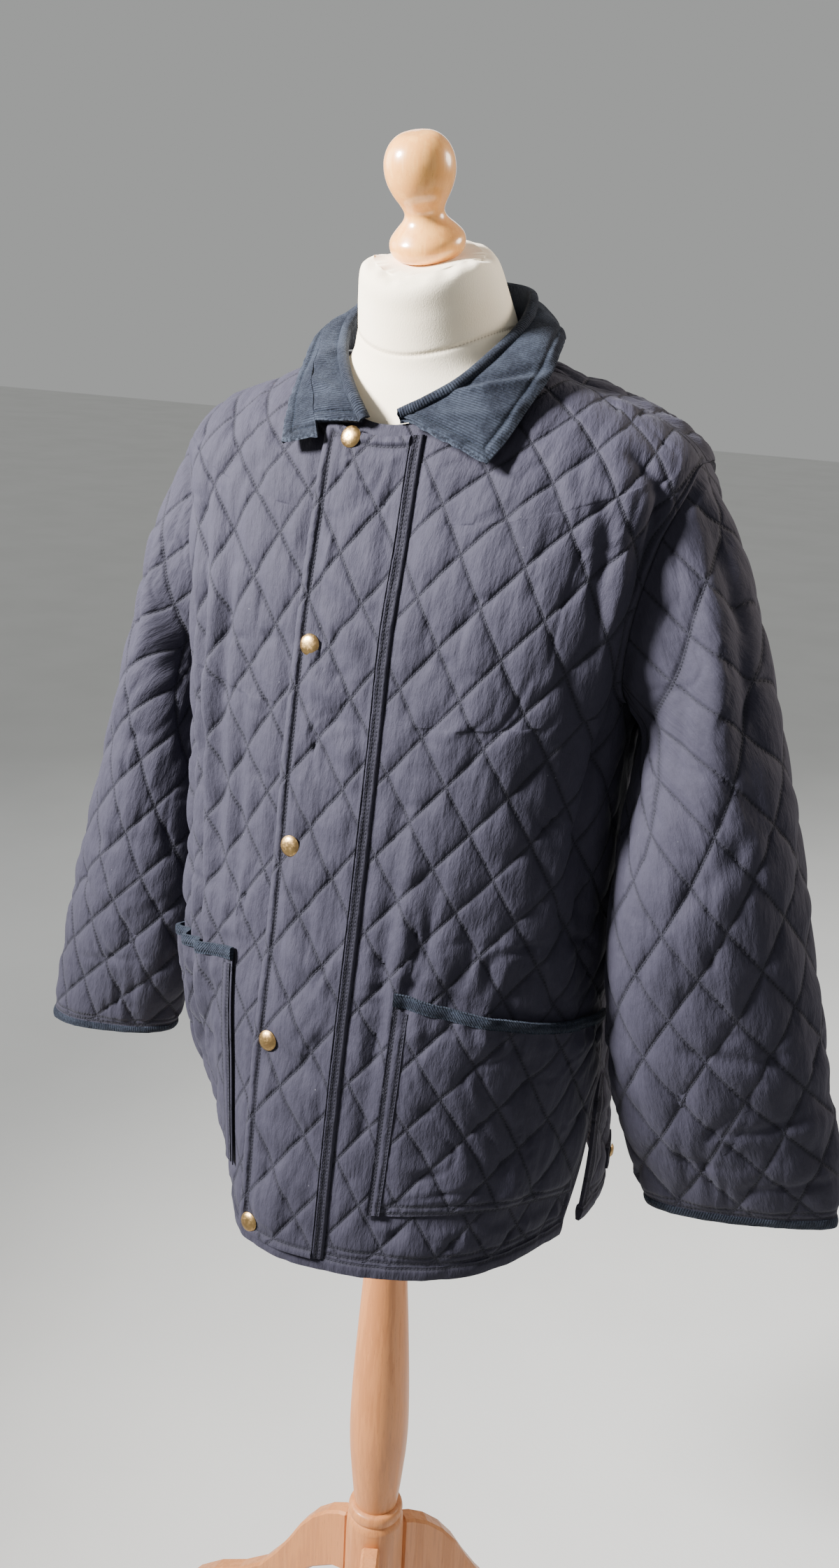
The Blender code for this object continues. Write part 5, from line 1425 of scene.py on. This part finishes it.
def pocket_strip(side):
    """Grids of the folded strip along a pocket's front edge."""
    lifts = np.linspace(0.01, 0.98, 66)
    azimuths, rows = pocket_places(side, np.linspace(*POCKET_STRIP, 9), lifts)
    smooth = body(azimuths, rows)
    across, up = spans(smooth)
    share = across / across[:, -1:]
    low = POCKET_GAP[side] + GAPE[0, 3] * lifts[:, None] ** 3 + POCKET_WALL + SEAM_GAP
    low = low - pressed(across + STRIP_FROM_EDGE)
    lift = low + STRIP_LOOK * (0.6 + 0.4 * np.sin(pi * share))
    outer = lifted(azimuths, rows, lift + 0.0003 * noise_at(share, up / 0.006, 0.0, 97))
    edge = nearest_edge((np.minimum(across, across[:, -1:] - across), up))
    return outer, lifted(azimuths, rows, low), smooth, pair(across, up), edge


def make_pockets(quilted, strip_cloth, corduroy):
    for side in SIDES:
        sew("cloth", "pocket_" + side, pocket_bag(side), quilted)
        sew("corduroy", "pocket_binding_" + side, pocket_binding(side), corduroy)
        sew("cloth", "pocket_edge_" + side, pocket_strip(side), strip_cloth)


def make_vent_tabs(cloth, metal):
    """A short strap with a snap on the back's edge of each vent."""
    low = LIE_GAP * 0.6
    span = np.degrees(TAB_LENGTH / SIDE_RADIUS)
    ends = [float(row_at_height(height, 90.0)) for height in (TAB_HEIGHT, TAB_HEIGHT + TAB_WIDTH)]
    middle = row_at_height(TAB_HEIGHT + TAB_WIDTH * 0.6, 90.0)
    for side in SIDES:
        mirror = mirror_of(side)
        azimuths, level = np.meshgrid(mirror * np.linspace(TAB_AZIMUTH, TAB_AZIMUTH + span, 15),
                                      np.linspace(*ends, 10))
        smooth = body(azimuths, level)
        across, up = spans(smooth)
        edge = nearest_edge((across, up), (up, across), (up[-1:] - up, across))
        outer = lifted(azimuths, level, low + TAB_WALL + seam_ridge(edge[..., 0], TAB_STITCH, TAB_RISE))
        grids = outer, lifted(azimuths, level, low), smooth, pair(across, up), edge
        sew("cloth", "vent_tab_" + side, grids, cloth)
        set_snap("vent_snap_" + side, VENT_SNAP_PROFILE, 48, metal,
                 np.array(mirror * (TAB_AZIMUTH + span * 0.35)), middle, low + TAB_WALL + SEAM_GAP)


# ---------------------------------------------------------------- form and stand
def make_form(fabric):
    """The padded body, closed at both ends, with the neck's seam and gathers at its cap."""
    rings = [(front_y, front_z, side_x, side_z, side_x, side_z, side_y, back_y, back_z, square)
             for front_y, front_z, side_x, side_z, side_y, back_y, back_z, square in FORM_RINGS]
    rows = np.concatenate([np.linspace(0, 11, 90)[:-1], np.linspace(11, len(rings) - 1, 110)])
    azimuth, row = np.meshgrid(np.linspace(-180.0, 180.0, 241), rows)
    smooth = ring_surface(rings, azimuth, row)
    facing = unit(np.cross(np.gradient(smooth, axis=1), np.gradient(smooth, axis=0)))
    facing[:, 0] = facing[:, -1] = unit(facing[:, 0] + facing[:, -1])
    around, up = spans(smooth, int(np.argmin(np.abs(rows - NECK_SEAM_ROW))), 120)
    height = 0.0006 * noise(smooth / 0.05, 101) - 0.0005 * np.exp(-(up / 0.0018) ** 2)
    turn = np.radians(azimuth)
    gathers = noise_at(np.cos(turn) * 6 + 9, np.sin(turn) * 6 + 9, row * 0.6 + 9, 102)
    height += 0.0018 * gathers * smooth_step(16.2, 17.6, row)
    height[-1] = 0.0
    height[:, -1] = height[:, 0]
    points = smooth + facing * height[..., None]
    top, bottom = points[-1].mean(axis=0), points[0].mean(axis=0)
    shares = np.array([0.999, 0.75, 0.5, 0.25])[:, None, None]
    lid = points[-1][None] + (top - points[-1])[None] * shares[::-1]
    base = points[0][None] + (bottom - points[0])[None] * shares
    around, up = (np.pad(grid, ((4, 4), (0, 0)), "edge") for grid in (around, up))
    maps = {"cloth": pair(around, up), "edge": nearest_edge((up, around))}
    made = tube("padded_form_body", np.concatenate([base, points, lid]), maps, fabric)
    settle(made, "form_body")


def make_stand(gloss_wood, wood):
    """The turned finial, pole and hub; the sawn legs stay as they are and take the wood's finish."""
    tilt = Matrix.Rotation(CAP_TILT, 3, "X")
    seat = FINIAL_SEAT + tilt @ Vector((0, 0, 1)) * SEAM_GAP
    made = lathe("turned_finial", FINIAL_PROFILE, gloss_wood, 128, 6, seat, tilt.to_quaternion())
    settle(made, "finial")
    settle(lathe("turned_pole", POLE_PROFILE, wood, 96, 10), "pole")
    settle(lathe("turned_hub", HUB_PROFILE, wood, 96, 4), "hub")
    for number in (1, 2, 3):
        for material_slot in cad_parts["leg_%d" % number].material_slots:
            material_slot.material = wood


# ---------------------------------------------------------------- light, floor and camera
SENSOR = 36.0            # mm along the picture's height
CAMERA_FOCAL = 2100 / 2242 * SENSOR      # mm
CAMERA_PITCH = radians(18.9)
CAMERA_ROLL = radians(-2.65)
CAMERA_AZIMUTH = radians(26.0)
CAMERA_YAW = radians(-0.52)
CAMERA_HEIGHT = 1.505
CAMERA_DISTANCE = 1.15
FLOOR_REACH = 14.0
WORLD_COLOUR = (0.62, 0.63, 0.62, 1.0)
WORLD_STRENGTH = 0.60
# Lights: name, place, the height above the floor's middle that it aims at, size, watts, colour, spread.
LIGHTS = (
    ("key", (-1.95, -1.65, 2.7), 1.44, 0.75, 76.0, (1.0, 0.985, 0.96), radians(62)),
    ("side", (-2.4, 0.2, 1.9), 1.15, 1.2, 15.0, (1.0, 0.99, 0.97), pi),
    ("back", (1.7, 1.5, 2.2), 1.46, 1.0, 7.0, (1.0, 0.88, 0.76), radians(60)),
    ("rear", (-1.4, 2.6, 2.0), 1.15, 1.6, 16.0, (0.96, 0.98, 1.0), pi),
    ("fill", (2.6, -1.2, 1.6), 1.15, 2.0, 2.0, (0.93, 0.96, 1.0), pi),
)


def add_camera():
    """The camera of the photo, rolled and turned a little off the middle."""
    turn = CAMERA_AZIMUTH + CAMERA_YAW
    ahead = Vector((-sin(turn) * cos(CAMERA_PITCH), cos(turn) * cos(CAMERA_PITCH), -sin(CAMERA_PITCH)))
    right = Vector((cos(turn), sin(turn), 0.0))
    up = right.cross(ahead)
    rolled_right = right * cos(CAMERA_ROLL) - up * sin(CAMERA_ROLL)
    rolled_up = right * sin(CAMERA_ROLL) + up * cos(CAMERA_ROLL)
    camera = bpy.data.objects.new("camera", bpy.data.cameras.new("camera"))
    bpy.context.collection.objects.link(camera)
    camera.data.lens = CAMERA_FOCAL
    camera.data.clip_start = 0.05
    place = Vector((CAMERA_DISTANCE * sin(CAMERA_AZIMUTH), -CAMERA_DISTANCE * cos(CAMERA_AZIMUTH),
                    CAMERA_HEIGHT)) + Vector(MIDDLE)
    camera.matrix_world = Matrix((
        (rolled_right.x, rolled_up.x, -ahead.x, place.x),
        (rolled_right.y, rolled_up.y, -ahead.y, place.y),
        (rolled_right.z, rolled_up.z, -ahead.z, place.z),
        (0.0, 0.0, 0.0, 1.0)))
    bpy.context.scene.camera = camera


def add_light(name, place, aim, size, power, colour, spread):
    light = bpy.data.lights.new(name, "AREA")
    light.shape = "DISK"
    light.size = size
    light.energy = power
    light.color = colour
    light.spread = spread
    made = bpy.data.objects.new(name, light)
    bpy.context.collection.objects.link(made)
    made.location = place
    made.rotation_euler = (Vector((0.0, 0.0, aim)) - Vector(place)).to_track_quat("-Z", "Y").to_euler()


def add_studio():
    """A pale floor, five round lights and an even, dim world."""
    floor = bpy.data.meshes.new("floor")
    corners = [(FLOOR_REACH * x, FLOOR_REACH * y, 0) for x, y in ((-1, -1), (1, -1), (1, 1), (-1, 1))]
    floor.from_pydata(corners, [], [(0, 1, 2, 3)])
    floor.materials.append(floor_finish())
    plane = bpy.data.objects.new("floor", floor)
    bpy.context.collection.objects.link(plane)
    plane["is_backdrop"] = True
    for light in LIGHTS:
        add_light(*light)
    world = bpy.data.worlds.new("studio")
    world.use_nodes = True
    background = world.node_tree.nodes["Background"].inputs
    background["Color"].default_value = WORLD_COLOUR
    background["Strength"].default_value = WORLD_STRENGTH
    bpy.context.scene.world = world


CAD_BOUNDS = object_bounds()
QUILTED = cloth_finish("navy_quilted_cloth", True, TOPSTITCH)
FLAP_CLOTH = cloth_finish("navy_quilted_flap", True, (FLAP_STITCH,))
PLAIN = cloth_finish("navy_cloth", False, (0.0105,))
STRIP = cloth_finish("navy_strip", False, (0.0012,))
COLLAR_CORDUROY = corduroy_finish("navy_corduroy", 0.0, (COLLAR_STITCH,))
CUFF_CORDUROY = corduroy_finish("navy_corduroy_cuff", 0.12, ())
POCKET_CORDUROY = corduroy_finish("navy_corduroy_bias", 0.75, (0.0014,))
BRASS = brass_finish()
GLOSS_BEECH = beech_finish("varnished_beech", VARNISHED_LIGHT, VARNISHED_DARK, 0.30, 0.6)
BEECH = beech_finish("beech", BEECH_LIGHT, BEECH_DARK, 0.50, 0.15)

make_fronts(QUILTED, PLAIN)
make_back(QUILTED, PLAIN)
for which in SIDES:
    make_sleeve(which, QUILTED, CUFF_CORDUROY)
make_collar(COLLAR_CORDUROY)
make_flap(FLAP_CLOTH)
make_welt(STRIP)
make_snaps(BRASS)
make_pockets(QUILTED, STRIP, POCKET_CORDUROY)
make_vent_tabs(STRIP, BRASS)
make_form(form_finish())
make_stand(GLOSS_BEECH, BEECH)
add_studio()
add_camera()


def plain(box):
    return [[float(value) for value in corner] for corner in box]


{"cad": plain(CAD_BOUNDS), "visual": plain(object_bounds())}
